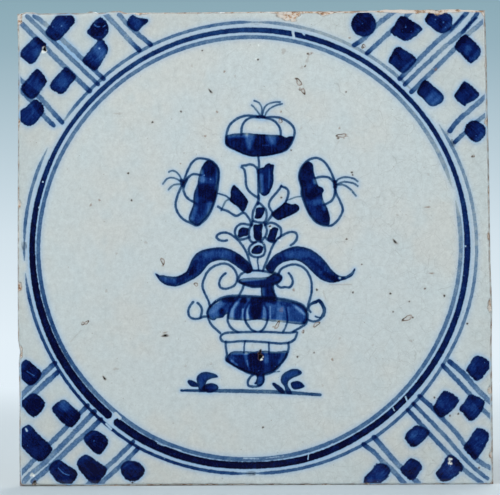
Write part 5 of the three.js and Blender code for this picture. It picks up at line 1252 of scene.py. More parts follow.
def follow_edges(u, w):
    """Moves points of an even square so that its sides lie on the tile's real sides."""
    pull_u = np.clip((np.abs(u) - HALF + WARP_DEPTH) / WARP_DEPTH, 0, 1)
    pull_w = np.clip((np.abs(w) - HALF + WARP_DEPTH) / WARP_DEPTH, 0, 1)
    x = u + pull_u * np.where(u > 0, reach("right", w), -reach("left", w))
    z = w + pull_w * np.where(w > 0, reach("top", u), -reach("bottom", u))
    return x, z


def ripple(x, y, z, size):
    """Smooth noise between about -1 and 1 whose bumps are about size millimetres wide."""
    return np.array([perlin.noise(Vector(p)) for p in np.stack(
        np.broadcast_arrays(x, y, z), axis=-1).reshape(-1, 3) / size]).reshape(np.shape(x))


CHIPS = [  # where glaze has broken off the edge: x, z, half width, half height, dent in the clay
    (10.4, 65.4, 2.9, 2.6, 0.5), (20.4, 65.5, 2.0, 1.15, 0.35), (-64.7, 64.2, 0.9, 1.5, 0.5),
    (46.5, 65.9, 13.8, 1.15, 0.0), (52, 65.6, 1.9, 1.5, 0.5), (-65, -28.3, 1.1, 1.6, 0.5),
    (-64.9, -10.2, 0.8, 0.9, 0.3), (-64.9, 12.6, 0.7, 0.8, 0.3), (-64.9, 35.5, 0.6, 0.6, 0.2),
    (64.9, 34.3, 0.8, 0.8, 0.3), (65.2, 50.5, 0.7, 1.2, 0.3), (65.3, 2.8, 0.7, 1.1, 0.3),
    (65.3, -16.5, 0.8, 1.5, 0.3), (65.2, -39.6, 1.1, 1.0, 0.4), (65.2, -57.2, 0.8, 0.8, 0.3),
    (30.6, -65.7, 1.2, 0.9, 0.3), (-12.5, -65.5, 1.0, 0.7, 0.2), (64.9, 64.9, 1.3, 1.2, 0.4),
    (-60.5, -65.3, 1.0, 1.0, 0.5), (-31.5, 65.8, 1.3, 0.8, 0.2), (50.8, -65.8, 1.5, 0.8, 0.2),
]
NAIL_HOLES = [  # x, z, half width, half height: pricks of the nails that held the drawing board
    (-57.4, 55.5, 0.42, 0.42), (53.6, -58.9, 0.42, 0.85), (-61.2, -62.1, 0.4, 0.4),
]


def oval(x, z, cx, cz, rx, rz, wobble=0.12):
    """How far inside an uneven oval a point lies, in millimetres."""
    turn = np.arctan2(z - cz, x - cx)
    size = 1 + wobble * (np.sin(3 * turn + cx) + 0.6 * np.sin(7 * turn + cz)
                         + 0.4 * np.sin(13 * turn))
    return (size - np.hypot((x - cx) / rx, (z - cz) / rz)) * min(rx, rz)


print("chips:", len(CHIPS), "nail holes:", len(NAIL_HOLES))

# %% [markdown]
# ## The tin glaze
#
# The glaze is a white glassy coat, a little wavy because it was poured, thicker just inside its
# rim, rounded over the edge and broken off in places. A grid of points over the face whose heights
# come from a few formulas makes all of that. The lines of the grid stand closer together along
# the rim and at the nail holes, where the shape changes fast, and wider apart elsewhere.

# %% Lines of the grid
HOLE_STEP, RIM_STEP, NEAR_STEP, PLAIN_STEP = 0.16, 0.2, 0.3, 0.53
RIM_ZONE, NEAR_ZONE = 1.7, 4  # how far in from the side the first two steps of the rim reach
HOLE_ZONE = 1.15
GRID_END = HALF + 0.3


def grid_lines(fine_places):
    """Places for grid lines from one side to the other, close together where it matters."""
    places, t = [], -GRID_END
    while t < GRID_END:
        places.append(t)
        gap = HALF - abs(t)
        step = RIM_STEP if gap < RIM_ZONE else NEAR_STEP if gap < NEAR_ZONE else PLAIN_STEP
        if min(abs(t - p) for p in fine_places) < HOLE_ZONE:
            step = min(step, HOLE_STEP)
        t += step
    return np.array([*places, GRID_END])


u_lines = grid_lines([hole[0] for hole in NAIL_HOLES])
w_lines = grid_lines([hole[1] for hole in NAIL_HOLES])
print("grid lines:", len(u_lines), "by", len(w_lines))

# %% The glaze skin
GLAZE_FACE = 7.85  # from the flat back to the painted face
CLAY_FACE = 7.2
GLAZE_UNDER = 6.2  # the glaze reaches down to here round the clay
GLAZE_FOOT = 0.15  # and its skirt this much further
RIM_WIDTH, RIM_DROP = 0.6, 0.7
ROLL_HEIGHT, ROLL_PLACE, ROLL_WIDTH = 0.07, 1.4, 0.7  # the thicker roll just inside the rim
RAGGED_RIM = [(0.16, 2.6, 0), (0.1, 0.9, 7)]  # how far, how long, and where in the noise
RIM_FALL = 5  # how steeply the glaze falls away past the rim
CHIP_FLOOR, CHIP_WALL = 6.4, 0.24
HOLE_DEPTH, HOLE_WALL, HOLE_LIP = 0.56, 0.5, 0.05
# how strongly the glaze turns brown and darker along its rim and round the chips
RIM_BROWNING, CHIP_BROWNING = 0.85, 0.95
RIM_INSETS = {"top": 0.32, "bottom": 0.12, "left": 0.02, "right": 0.06}
RIM_BROWN_REACH = 0.22  # how far in the brown darkening along the broken rim reaches
RIM_CORNER = 1.0
WAVES = [(0.045, 31, 0.7, 0.3), (0.035, 19, -0.4, 1.9), (0.02, 11, 2.0, 0.9)]  # height, length, way


def glaze_height(u, w, x, z):
    """How far the glaze stands out from the tile's back, and how brown and dark it is at its rim.
    """
    high = np.full(x.shape, GLAZE_FACE)
    for size, length, way, start in WAVES:
        high += size * np.sin((x * math.cos(way) + z * math.sin(way)) * math.tau / length + start)
    ragged = sum(size * ripple(x, 0 * x + place, z, length) for size, length, place in RAGGED_RIM)
    gap_u = HALF - np.abs(u) - np.where(u > 0, RIM_INSETS["right"], RIM_INSETS["left"])
    gap_w = HALF - np.abs(w) - np.where(
        w > 0, RIM_INSETS["top"] * (0.1 + 0.9 * smooth_step((x - 2) / 8)), RIM_INSETS["bottom"])
    gap = np.minimum(gap_u, gap_w)
    corner = RIM_CORNER - np.hypot(np.maximum(RIM_CORNER - gap_u, 0),
                                   np.maximum(RIM_CORNER - gap_w, 0))
    gap = np.where((gap_u < RIM_CORNER) & (gap_w < RIM_CORNER), corner, gap) + ragged
    high += ROLL_HEIGHT * np.exp(-((gap - ROLL_PLACE) / ROLL_WIDTH) ** 2)
    bend = np.clip(gap / RIM_WIDTH, 0, 1)
    high -= RIM_DROP * (1 - np.sqrt(1 - (1 - bend) ** 2)) + np.maximum(-gap, 0) * RIM_FALL
    # a brown darkening along the rim, and a line of it round each chip
    browning = RIM_BROWNING * np.clip(1.4 - gap / RIM_BROWN_REACH, 0, 1)
    for cx, cz, rx, rz, _ in CHIPS:
        deep = oval(x, z, cx, cz, rx, rz)
        high += (np.minimum(high, CHIP_FLOOR) - high) * smooth_step(0.5 + deep / CHIP_WALL)
        browning = np.maximum(browning, CHIP_BROWNING * np.exp(-((deep + 0.06) / 0.16) ** 2))
    for cx, cz, rx, rz in NAIL_HOLES:
        deep = oval(x, z, cx, cz, rx, rz, 0.06)
        high -= (HOLE_DEPTH * smooth_step(0.5 + deep / HOLE_WALL)
                 - HOLE_LIP * np.exp(-((deep + 0.45) / 0.2) ** 2))
    broken = np.clip(0.5 + 1.6 * ripple(x, 0 * x + 3, z, 1.3), 0.1, 1)
    return np.maximum(high, GLAZE_UNDER), browning * broken


u, w = np.meshgrid(u_lines, w_lines)
x, z = follow_edges(u, w)
high, rim_browning = glaze_height(u, w, x, z)
index = np.arange(x.size).reshape(x.shape)
quads = np.stack([index[:-1, :-1], index[:-1, 1:], index[1:, 1:], index[1:, :-1]], -1)
glaze_mesh = new_mesh("glaze_skin", np.stack([x, -high, z], -1).reshape(-1, 3),
                      quads.reshape(-1, 4))
carry(glaze_mesh, x.ravel(), z.ravel(), bare=True)
# the glaze skin's rust numbers are the brown darkening along its rim
glaze_mesh.attributes["spot_rust"].data.foreach_set("value", rim_browning.astype(np.float32).ravel())

glaze_bmesh = bmesh.new()
glaze_bmesh.from_mesh(glaze_mesh)
rim = [e for e in glaze_bmesh.edges if e.is_boundary]
skirt = bmesh.ops.extrude_edge_only(glaze_bmesh, edges=rim)["geom"]
for vertex in (v for v in skirt if isinstance(v, bmesh.types.BMVert)):
    vertex.co.y = -(GLAZE_UNDER - GLAZE_FOOT) * MM
bmesh.ops.contextual_create(glaze_bmesh, geom=[e for e in glaze_bmesh.edges if e.is_boundary])
bmesh.ops.recalc_face_normals(glaze_bmesh, faces=glaze_bmesh.faces)
glaze_bmesh.to_mesh(glaze_mesh)
glaze_bmesh.free()
glaze_skin = new_piece("glaze_skin", glaze_mesh, sharp=55)
print("glaze faces:", len(glaze_mesh.polygons))

# %% [markdown]
# ## The clay body
#
# Under the glaze is a slab of coarse buff clay, cut so that its sides slope in towards the back
# and tiles meet tightly at the face. It shows on the sides, at the back and in the chips. A band
# of points runs round it, from the back over the side to the face: such a band is easy to push in
# and out along its length. The flat back and face are filled by triangulating a loose grid.

# %% Band round the slab
BAND_STEP = 0.45
BACK_SLOPE = 1.1  # how much smaller the back is, on each side
SIDE_CORNER = 0.9
# rows of the band: inset and depth on the back's rim, and insets on the face
BACK_ROWS = [(5.0, 0.0), (3.2, 0.0), (2.0, 0.0), (1.2, 0.0), (0.5, 0.02), (0.2, 0.1)]
SIDE_ROWS = 15
FACE_ROWS = [0.12, 0.35, 0.7, 1.1, 1.6, 2.2, 3.0, 4.0]
BULGE_FROM, BULGE_TO, BULGE = 33.5, 60.5, 0.62  # the clay swells out along the top edge
BULGE_EASE = 4
SIDE_ROUGH = [(0.12, 3.5), (0.07, 1.1)]  # how far, and how long
DRAG_ROUGH = (0.18, 14)  # drawn out along the side by the knife
ROUGH_ROWS = 1.4  # rows further in than this stay flat

steps = np.linspace(-1, 1, round(2 * HALF / BAND_STEP) + 1)[:-1]
ring = np.concatenate([np.stack([side, up], -1) for side, up in (
    (steps, 0 * steps - 1), (0 * steps + 1, steps),
    (-steps, 0 * steps + 1), (0 * steps - 1, -steps))])
outward = ring / np.abs(ring).max(axis=1, keepdims=True)
outward = np.where(np.abs(outward) > 0.999, np.sign(outward), 0)
outward /= np.linalg.norm(outward, axis=1, keepdims=True)
core = np.clip(ring * HALF, -(HALF - SIDE_CORNER), HALF - SIDE_CORNER)
arm = ring * HALF - core
ring_points = core + arm * (SIDE_CORNER / np.maximum(
    np.linalg.norm(arm, axis=1, keepdims=True), 1e-9))


def band_row(inset, deep):
    """One row of the band: inset from the outline and deep millimetres in front of the back."""
    scale = (HALF - inset) / HALF
    x, z = follow_edges(*(ring_points * scale).T)
    swell = BULGE * (smooth_step((x - BULGE_FROM) / BULGE_EASE)
                     * smooth_step((BULGE_TO - x) / BULGE_EASE)
                     * smooth_step((deep - 2.2) / 1.6) * smooth_step((7.15 - deep) / 0.7)
                     * (outward[:, 1] > 0.9) * (inset < 1.2))
    rough = (sum(size * ripple(x, 0 * x + deep, z, length) for size, length in SIDE_ROUGH)
             + DRAG_ROUGH[0] * ripple(x, 0 * x + deep * 0.4 + 20, z, DRAG_ROUGH[1]))
    swell = swell * (1 + 0.3 * ripple(x, 0 * x + deep, z, 2))
    push = (swell + rough * (inset < ROUGH_ROWS))[:, None]
    place = np.stack([x, z], -1) + outward * push
    return np.stack([place[:, 0], np.full(len(x), -deep), place[:, 1]], -1)


rows = [band_row(BACK_SLOPE + inset, deep) for inset, deep in BACK_ROWS]
for t in np.linspace(0.03, 0.985, SIDE_ROWS):
    rows.append(band_row(BACK_SLOPE * (1 - t) ** 1.3, CLAY_FACE * t))
rows += [band_row(inset, CLAY_FACE) for inset in FACE_ROWS]
rows = np.array(rows)
print("band:", rows.shape[0], "rows of", rows.shape[1])

# %% Back, face and dents
BACK_GRID, FACE_GRID = 2.2, 4.0
BACK_UNEVEN = 0.12


def fill_inside(edge_points, spacing, deep):
    """Triangles inside a loop, over a loose grid of extra points."""
    reach_in = np.abs(edge_points).max() - 1.2
    ticks = np.arange(-reach_in, reach_in + 0.01, 2 * reach_in / round(2 * reach_in / spacing))
    gx, gz = (a.ravel() for a in np.meshgrid(ticks, ticks))
    loose = [0.3 * spacing * ripple(gx, 0 * gx + y, gz, 3) for y in (0, 9)]
    inner = np.clip(np.stack([gx + loose[0], gz + loose[1]], -1), -reach_in, reach_in)
    points = [Vector(p) for p in [*edge_points, *inner]]
    loop = list(range(len(edge_points)))
    out, _, faces, *_ = delaunay_2d_cdt(points, [], [loop], 1, 1e-4)
    out = np.array([tuple(p) for p in out])
    return np.stack([out[:, 0], np.full(len(out), -deep), out[:, 1]], -1), faces


clay_bmesh = bmesh.new()
count = rows.shape[1]
band = [[clay_bmesh.verts.new(p * MM) for p in row] for row in rows]
for lower, upper in zip(band, band[1:]):
    for k in range(count):
        clay_bmesh.faces.new((lower[k], lower[(k + 1) % count], upper[(k + 1) % count], upper[k]))
for row, spacing, deep in ((rows[0], BACK_GRID, 0.0), (rows[-1], FACE_GRID, CLAY_FACE)):
    points, faces = fill_inside(row[:, [0, 2]], spacing, deep)
    made = [clay_bmesh.verts.new(p * MM) for p in points]
    for face in faces:
        clay_bmesh.faces.new([made[n] for n in face])
bmesh.ops.remove_doubles(clay_bmesh, verts=clay_bmesh.verts, dist=0.002 * MM)
bmesh.ops.recalc_face_normals(clay_bmesh, faces=clay_bmesh.faces)
for vertex in clay_bmesh.verts:
    x, deep, z = vertex.co.x / MM, -vertex.co.y / MM, vertex.co.z / MM
    if deep < 0.01:  # the back was pressed against sand: shallow hollows, never proud of flat
        hollow = 0.5 + 0.5 * perlin.noise(Vector((x, 3, z)) / 9)
        pitted = abs(perlin.noise(Vector((x, 5, z)) / 2.4))
        vertex.co.y -= BACK_UNEVEN * (hollow + 0.6 * pitted) * MM
    if deep > CLAY_FACE - 1.4:
        for cx, cz, rx, rz, dent in CHIPS:
            inside = float(oval(x, z, cx, cz, rx * 1.05, rz * 1.05))
            if dent and inside > 0:
                vertex.co.y += dent * min(1, inside / 0.5) * (1 + 0.5 * perlin.noise(
                    Vector((x, deep, z)) / 0.7)) * MM
clay_mesh = bpy.data.meshes.new("clay_biscuit")
clay_bmesh.to_mesh(clay_mesh)
open_edges = sum(e.is_boundary for e in clay_bmesh.edges)
clay_bmesh.free()
clay_biscuit = new_piece("clay_biscuit", clay_mesh, sharp=60)
print("clay faces:", len(clay_mesh.polygons), "open edges:", open_edges)

# %% [markdown]
# ## Films of colour
#
# Cobalt melts into the glaze, so a painted mark has next to no thickness. It could be a texture
# on the glaze, but as a thin solid of its own it can be picked, moved or left out. Each film is
# cut from its lay's grid with a margin of clear glaze round it, and because all films and the
# glaze carry the same numbers, no seam shows where they meet or cross.

# %% Cutting a film from the grid
FILM_MARGIN = 0.6
FILM_CELL = 2  # grid steps across one face of a film
PIT_CELL = 1
FILM_RIM = 0.55  # films end this far inside the tile's sides
OUT_FRONT = -9.5  # films are cut here, in front of the tile, and laid on the glaze afterwards


def film_mesh(name, margin, cell):
    """A flat sheet over all grid points that are inside a lay's marks or within their margin."""
    j0, i0, own = lays[name]
    own = own[::cell, ::cell] + margin
    spacing = GRID_STEP * cell
    x = ((i0 + np.arange(own.shape[1]) * cell) * GRID_STEP - GRID_REACH)[None, :]
    z = ((j0 + np.arange(own.shape[0]) * cell) * GRID_STEP - GRID_REACH)[:, None]
    wide = np.where(x > 0, reach("right", z), reach("left", z)) + HALF - np.abs(x)
    tall = np.where(z > 0, reach("top", x), reach("bottom", x)) + HALF - np.abs(z)
    own = np.minimum(own, np.minimum(wide, tall) - FILM_RIM)
    keep = own > 0
    cells = keep[:-1, :-1] | keep[1:, :-1] | keep[:-1, 1:] | keep[1:, 1:]
    for _ in range(3):  # cells that meet only at a corner would make an open seam
        falling = cells[:-1, :-1] & cells[1:, 1:] & ~cells[1:, :-1] & ~cells[:-1, 1:]
        rising = cells[1:, :-1] & cells[:-1, 1:] & ~cells[:-1, :-1] & ~cells[1:, 1:]
        cells[:-1, 1:] |= falling
        cells[:-1, :-1] |= rising
    jj, ii = np.nonzero(cells)
    number = np.full(own.shape, -1, np.int64)
    corners = [(jj, ii), (jj, ii + 1), (jj + 1, ii + 1), (jj + 1, ii)]
    used = np.zeros(own.shape, bool)
    for corner in corners:
        used[corner] = True
    number[used] = np.arange(used.sum())
    j, i = np.nonzero(used)
    x, z = x[0, i], z[j, 0]
    slope_z, slope_x = np.gradient(np.maximum(own, -0.6), spacing)
    slope_x, slope_z, deep = slope_x[used], slope_z[used], own[used]
    steep = np.maximum(np.hypot(slope_x, slope_z), 0.3)
    move = np.clip(-deep / steep, 0, 0.8 * spacing)
    x, z = x + slope_x / steep * move, z + slope_z / steep * move
    faces = np.stack([number[corner] for corner in corners], -1)
    mesh = new_mesh(name, np.stack([x, np.full(x.shape, OUT_FRONT), z], -1), faces)
    carry(mesh, x, z)
    return mesh


print("a film's cells are", GRID_STEP * FILM_CELL, "mm wide")

# %% [markdown]
# A film has to follow every wave of the glaze. Moving its points one by one in Python would do,
# but Geometry Nodes say it better: each point casts a ray straight back, lands where the ray hits
# the glaze, and the sheet is then sunk a little and pushed out again, which gives it thickness.

# %% Geometry Nodes: laying a film on the glaze
def new_group(name, inputs, outputs, kind="ShaderNodeTree"):
    """A node group with its sockets: label, what it carries, and a value if it has one."""
    tree = bpy.data.node_groups.new(name, kind)
    for way, sockets in (("INPUT", inputs), ("OUTPUT", outputs)):
        for label, what, *value in sockets:
            socket = tree.interface.new_socket(label, in_out=way, socket_type="NodeSocket" + what)
            if value:
                socket.default_value = value[0]
    return tree, add_node(tree, "NodeGroupInput").outputs, add_node(tree, "NodeGroupOutput").inputs


film_tree, given, result = new_group("lay_film_on_glaze", [
    ("Geometry", "Geometry"), ("Glaze", "Object"), ("Relief", "Float"), ("Sink", "Float"),
    ("Material", "Material")], [("Geometry", "Geometry")], "GeometryNodeTree")
glaze = add_node(film_tree, "GeometryNodeObjectInfo", {"Object": given["Glaze"]},
                 transform_space="ORIGINAL")
hit = add_node(film_tree, "GeometryNodeRaycast", {
    "Target Geometry": glaze.outputs["Geometry"], "Ray Direction": (0, 1, 0), "Ray Length": 0.02})
landed = add_node(film_tree, "GeometryNodeSetPosition", {
    "Geometry": given["Geometry"], "Selection": hit.outputs["Is Hit"],
    "Position": hit.outputs["Hit Position"]})
sink = add_node(film_tree, "ShaderNodeCombineXYZ", {"Y": given["Sink"]})
sunk = add_node(film_tree, "GeometryNodeSetPosition", {
    "Geometry": landed.outputs["Geometry"], "Offset": sink.outputs[0]})
whole = math_node(film_tree, "ADD", given["Relief"], given["Sink"])
thick = add_node(film_tree, "GeometryNodeExtrudeMesh", {
    "Mesh": sunk.outputs["Geometry"], "Offset": (0, -1, 0), "Offset Scale": whole,
    "Individual": False}, mode="FACES")
under = add_node(film_tree, "GeometryNodeFlipFaces", {"Mesh": sunk.outputs["Geometry"]})
joined = add_node(film_tree, "GeometryNodeJoinGeometry")
film_tree.links.new(thick.outputs["Mesh"], joined.inputs[0])
film_tree.links.new(under.outputs["Mesh"], joined.inputs[0])
merged = add_node(film_tree, "GeometryNodeMergeByDistance", {
    "Geometry": joined.outputs[0], "Distance": 1e-6})
real = add_node(film_tree, "GeometryNodeRealizeInstances", {"Geometry": merged.outputs[0]})
dressed = add_node(film_tree, "GeometryNodeSetMaterial", {
    "Geometry": real.outputs[0], "Material": given["Material"]})
film_tree.links.new(dressed.outputs[0], result[0])


def plain_mesh(name, mesh, tree, values):
    """Runs a Geometry Nodes tree on a mesh and gives back an ordinary mesh."""
    holder = bpy.data.objects.new(name, mesh)
    bpy.context.scene.collection.objects.link(holder)
    modifier = holder.modifiers.new("nodes", "NODES")
    modifier.node_group = tree
    for item in tree.interface.items_tree:
        if item.in_out == "INPUT" and item.name in values:
            modifier[item.identifier] = values[item.name]
    bpy.context.view_layer.update()
    depsgraph = bpy.context.evaluated_depsgraph_get()
    done = bpy.data.meshes.new_from_object(holder.evaluated_get(depsgraph), depsgraph=depsgraph)
    bpy.data.objects.remove(holder)
    done.name = name
    return done


print("film tree:", len(film_tree.nodes), "nodes")

# %% [markdown]
# ## Shader groups
#
# Glaze, every blue and the kiln marks meet on the same surface, so what they do is built once, in
# three groups that are chained in each material: the white glaze, the cobalt in it, and the
# marks of the fire on top. The clay has a group of its own.

# %% Helpers for shader groups
def noise(tree, vector, size, detail=2.0, rough=0.5, warp=0.0):
    """Noise from 0 to 1 whose bumps are about size millimetres wide."""
    return add_node(tree, "ShaderNodeTexNoise", {
        "Vector": vector, "Scale": 1 / (size * MM), "Detail": detail, "Roughness": rough,
        "Distortion": warp}).outputs["Fac"]


def blend_colour(tree, factor, a, b, kind="MIX"):
    """Colour a turns into colour b as the factor goes from 0 to 1."""
    mix = add_node(tree, "ShaderNodeMix", {"Factor": factor}, data_type="RGBA", blend_type=kind)
    for socket, value in ((mix.inputs[6], a), (mix.inputs[7], b)):
        if isinstance(value, bpy.types.NodeSocket):
            tree.links.new(value, socket)
        else:
            socket.default_value = value
    return mix.outputs[2]


def tinted(tree, colour, red, green, blue):
    """A colour with each of its parts multiplied by a number of its own."""
    tint = add_node(tree, "ShaderNodeCombineColor", {"Red": red, "Green": green, "Blue": blue})
    return blend_colour(tree, 1.0, colour, tint.outputs[0], "MULTIPLY")


def vector_math(tree, operation, a, b):
    return add_node(tree, "ShaderNodeVectorMath", {0: a, 1: b}, operation=operation).outputs[0]


def specks(tree, vector, size, near, far):
    """Round dots in cells of this size, and the random colour of each cell."""
    cell = add_node(tree, "ShaderNodeTexVoronoi", {"Vector": vector, "Scale": 1 / (size * MM)})
    return (step_between(tree, cell.outputs["Distance"], near, far, 1, 0),
            add_node(tree, "ShaderNodeSeparateColor", {0: cell.outputs["Color"]}).outputs)


print("shader helpers ready")

# %% White glaze group
CRACK_SIZE, FINE_CRACK_SIZE = 4.6, 2.3
CRACK_WIDTH = 0.012  # as a share of a cell

tree, given, out = new_group("white_glaze", [
    ("Vector", "Vector"), ("White", "Color", srgb(195, 203, 203)),
    ("Warm", "Color", srgb(200, 200, 194)), ("Cool", "Color", srgb(189, 201, 203)),
    ("Cracks", "Float", 0.5)],
    [("Color", "Color"), ("Roughness", "Float"), ("Height", "Float")])
place, away = xyz(tree, given["Vector"]), far_off(tree, given["Vector"])
shifted = vector_math(tree, "ADD", given["Vector"], (0.31, 0.17, 0.23))

# broad warm clouds, smaller cool ones, and a fine light and dark grain
warm = step_between(tree, noise(tree, given["Vector"], 17, 2), 0.42, 0.68, 0, 0.55)
cool = step_between(tree, noise(tree, shifted, 6.5, 3), 0.46, 0.7, 0, 0.4)
colour = blend_colour(tree, warm, given["White"], given["Warm"])
colour = blend_colour(tree, cool, colour, given["Cool"])
cloud = noise(tree, shifted, 1.5, 4, 0.6)
light = math_node(tree, "ADD", cloud, noise(tree, shifted, 0.45, 3, 0.7))
light = times_plus(tree, light, 0.34, 0.66)
colour = tinted(tree, colour, light, light, light)

# a little darker low down, which is painted shade, and darker outside the ring, most of all at the
# top
upright = step_between(tree, place["Z"], -0.066, 0.066, 0.965, 1.01)
dim = step_between(tree, place["Z"], -0.03, 0.03, -0.05, -0.075)
upright = times(tree, upright, times_plus(tree, step_between(tree, away, 0.06, 0.07), dim, 1))
colour = tinted(tree, colour, upright, upright, times(
    tree, upright, step_between(tree, away, 0.03, 0.08, 1.0, 0.985)))

# crazing: wavering cracks in two sizes, the finer ones in patches, and most on the right
bent = add_node(tree, "ShaderNodeTexNoise", {"Vector": given["Vector"], "Scale": 260.0})
bent = vector_math(tree, "MULTIPLY", bent.outputs["Color"], (0.0011, 0.0011, 0.0011))
bent = vector_math(tree, "ADD", given["Vector"], bent)
cracks = []
for size, thin in ((CRACK_SIZE, 1.0), (FINE_CRACK_SIZE, 1.6)):
    cell = add_node(tree, "ShaderNodeTexVoronoi", {"Vector": bent, "Scale": 1 / (size * MM)},
                    feature="DISTANCE_TO_EDGE").outputs["Distance"]
    cracks.append(step_between(tree, cell, 0.0, CRACK_WIDTH * thin, 1, 0))
patchy = step_between(tree, noise(tree, shifted, 14, 2), 0.45, 0.6)
side = step_between(tree, place["X"], -0.05, 0.05, 0.35, 1.0)
craze = math_node(tree, "MAXIMUM", cracks[0], times(tree, cracks[1], patchy))
craze = times(tree, craze, times(tree, side, given["Cracks"]))
colour = blend_colour(tree, times(tree, craze, 0.55), colour, srgb(108, 104, 96))

# pinpricks of brown, and the orange peel of the surface
dots, chosen = specks(tree, given["Vector"], 1.7, 0.05, 0.11)
tiny = times(tree, dots, step_between(tree, chosen["Red"], 0.74, 0.76))
colour = blend_colour(tree, times(tree, tiny, 0.6), colour, srgb(128, 116, 100))
peel = noise(tree, given["Vector"], 2.2, 3, 0.55)
dull = times_plus(tree, cloud, 0.12, 0.1)
tree.links.new(colour, out["Color"])
tree.links.new(times_plus(tree, craze, 0.2, dull), out["Roughness"])
tree.links.new(times_plus(tree, craze, -0.3, times_plus(tree, tiny, -0.5, peel)), out["Height"])
white_glaze = tree
print("white glaze:", len(tree.nodes), "nodes")

# %% Cobalt group
COBALT_RAMP = [  # strength of the wash and its colour
    (0.0, (170, 190, 204)), (0.25, (140, 169, 198)), (0.4, (95, 133, 180)),
    (0.55, (55, 96, 154)), (0.7, (27, 65, 127)), (0.85, (6, 31, 93)), (1.0, (0, 5, 48)),
]
THIN_SHIFT = (1.2, 0.91, 0.62, 1)  # thin paint is greyer than a deep wash
BLEED_COLOUR = srgb(116, 168, 216)
RING_OUTSIDE = (0.0648, 0.0654)  # metres from the middle to where the corners begin
RING_INSIDE = (0.043, 0.047)  # and to where the flowers end

tree, given, out = new_group("cobalt_in_glaze", [
    ("Vector", "Vector"), ("Glaze", "Color"), ("Edge", "Float"), ("Tone", "Float"),
    ("Bleed", "Float"), ("Ragged", "Float", 0.2), ("Cloudy", "Float", 0.24),
    ("Streaks", "Float", 0.3), ("Run", "Float", 0.8)], [("Color", "Color")])
place, away = xyz(tree, given["Vector"]), far_off(tree, given["Vector"])
corner = step_between(tree, away, *RING_OUTSIDE)

# marks of the brush's hairs, upright in the flowers and slanting in the corners
slant = times(tree, corner, math_node(tree, "SIGN", times(tree, place["X"], place["Z"])))
across = times_plus(tree, slant, place["Z"], place["X"])
along = math_node(tree, "SUBTRACT", place["Z"], times(tree, slant, place["X"]))
combed = add_node(tree, "ShaderNodeCombineXYZ", {"X": across, "Z": times(tree, along, 0.12)})
streak = math_node(tree, "SUBTRACT", noise(tree, combed.outputs[0], 0.6, 3, 0.6), 0.5)
wide = times(tree, step_between(tree, given["Edge"], 0.3, 0.6), math_node(
    tree, "MAXIMUM", corner, step_between(tree, away, *RING_INSIDE, 1, 0)))

# a frayed edge, twice as ragged in the corners, where the hairs also show at the dabs' ends
fray = math_node(tree, "SUBTRACT", noise(tree, given["Vector"], 0.9, 4, 0.65), 0.5)
edge = times_plus(tree, fray, times(tree, given["Ragged"], times_plus(tree, corner, 2, 2)),
                  given["Edge"])
bold = times(tree, corner, step_between(tree, given["Tone"], 0.6, 0.75))
edge = times_plus(tree, streak, times(tree, bold, 0.5), edge)
cover = step_between(tree, edge, -0.11, 0.1)

# the strength of the blue: clouds, grit, streaks and tiny bare dots
cloud = math_node(tree, "SUBTRACT", noise(tree, given["Vector"], 2.4, 3, 0.6), 0.5)
grit = math_node(tree, "SUBTRACT", noise(tree, given["Vector"], 0.35, 2, 0.6), 0.5)
tone = times_plus(tree, times_plus(tree, grit, 0.75, cloud), times(tree, given["Cloudy"], 1.5),
                  given["Tone"])
tone = times_plus(tree, streak, times(tree, wide, given["Streaks"]), tone)
dots, chosen = specks(tree, given["Vector"], 1.15, 0.1, 0.2)
white_dot = times(tree, dots, step_between(tree, chosen["Green"], 0.8, 0.82))
tone = times_plus(tree, white_dot, -0.4, tone)

# its colour, greyer in thin strokes and most of all in the flowers
shade = colour_ramp(tree, tone, COBALT_RAMP)
thin = times(tree, step_between(tree, given["Edge"], 0.4, 0.9, 1, 0),
             step_between(tree, away, 0.045, 0.055, 1, 0.75))
shade = blend_colour(tree, thin, shade, blend_colour(tree, 1.0, shade, THIN_SHIFT, "MULTIPLY"))

# the faint blue that ran into the glaze, and the mark itself over it
run = math_node(tree, "EXPONENT", math_node(tree, "DIVIDE", given["Bleed"], BLEED_LENGTH))
colour = blend_colour(tree, times(tree, run, given["Run"]), given["Glaze"], BLEED_COLOUR)
tree.links.new(blend_colour(tree, cover, colour, shade), out["Color"])
cobalt_in_glaze = tree
print("cobalt:", len(tree.nodes), "nodes")

# %% Kiln mark group
tree, given, out = new_group("kiln_marks", [
    ("Vector", "Vector"), ("Color", "Color"), ("Roughness", "Float"), ("Height", "Float"),
    ("Rust", "Float"), ("Soot", "Float"), ("Chalk", "Float")],
    [("Color", "Color"), ("Roughness", "Float"), ("Height", "Float")])
fray = noise(tree, given["Vector"], 0.4, 3, 0.65)
rust = times(tree, given["Rust"], times_plus(tree, fray, 0.9, 0.5))
rust_colour = blend_colour(tree, fray, srgb(150, 112, 84), srgb(82, 60, 46))
colour = blend_colour(tree, rust, given["Color"], rust_colour)
# painted highlights in near white, then black specks and the painted shade in the nail holes
colour = blend_colour(tree, given["Chalk"], colour, srgb(222, 228, 226))
colour = blend_colour(tree, given["Soot"], colour, srgb(10, 8, 8))
tree.links.new(colour, out["Color"])
for label, soot_and_shade_change, rusty in (("Roughness", -0.1, 0.2), ("Height", -0.5, -0.7)):
    tree.links.new(times_plus(tree, given["Soot"], soot_and_shade_change, times_plus(
        tree, rust, rusty, given[label])), out[label])
kiln_marks = tree
print("kiln marks:", len(tree.nodes), "nodes")

# %% Fired clay group
tree, given, out = new_group("fired_clay", [
    ("Vector", "Vector"), ("Buff", "Color", srgb(172, 143, 120)),
    ("Ochre", "Color", srgb(183, 138, 98)), ("Pale", "Color", srgb(204, 188, 168)),
    ("Dirt", "Color", srgb(104, 88, 76)), ("Soil", "Float", 0.45),
    ("Rim", "Color", srgb(214, 208, 200))],
    [("Color", "Color"), ("Roughness", "Float"), ("Height", "Float")])

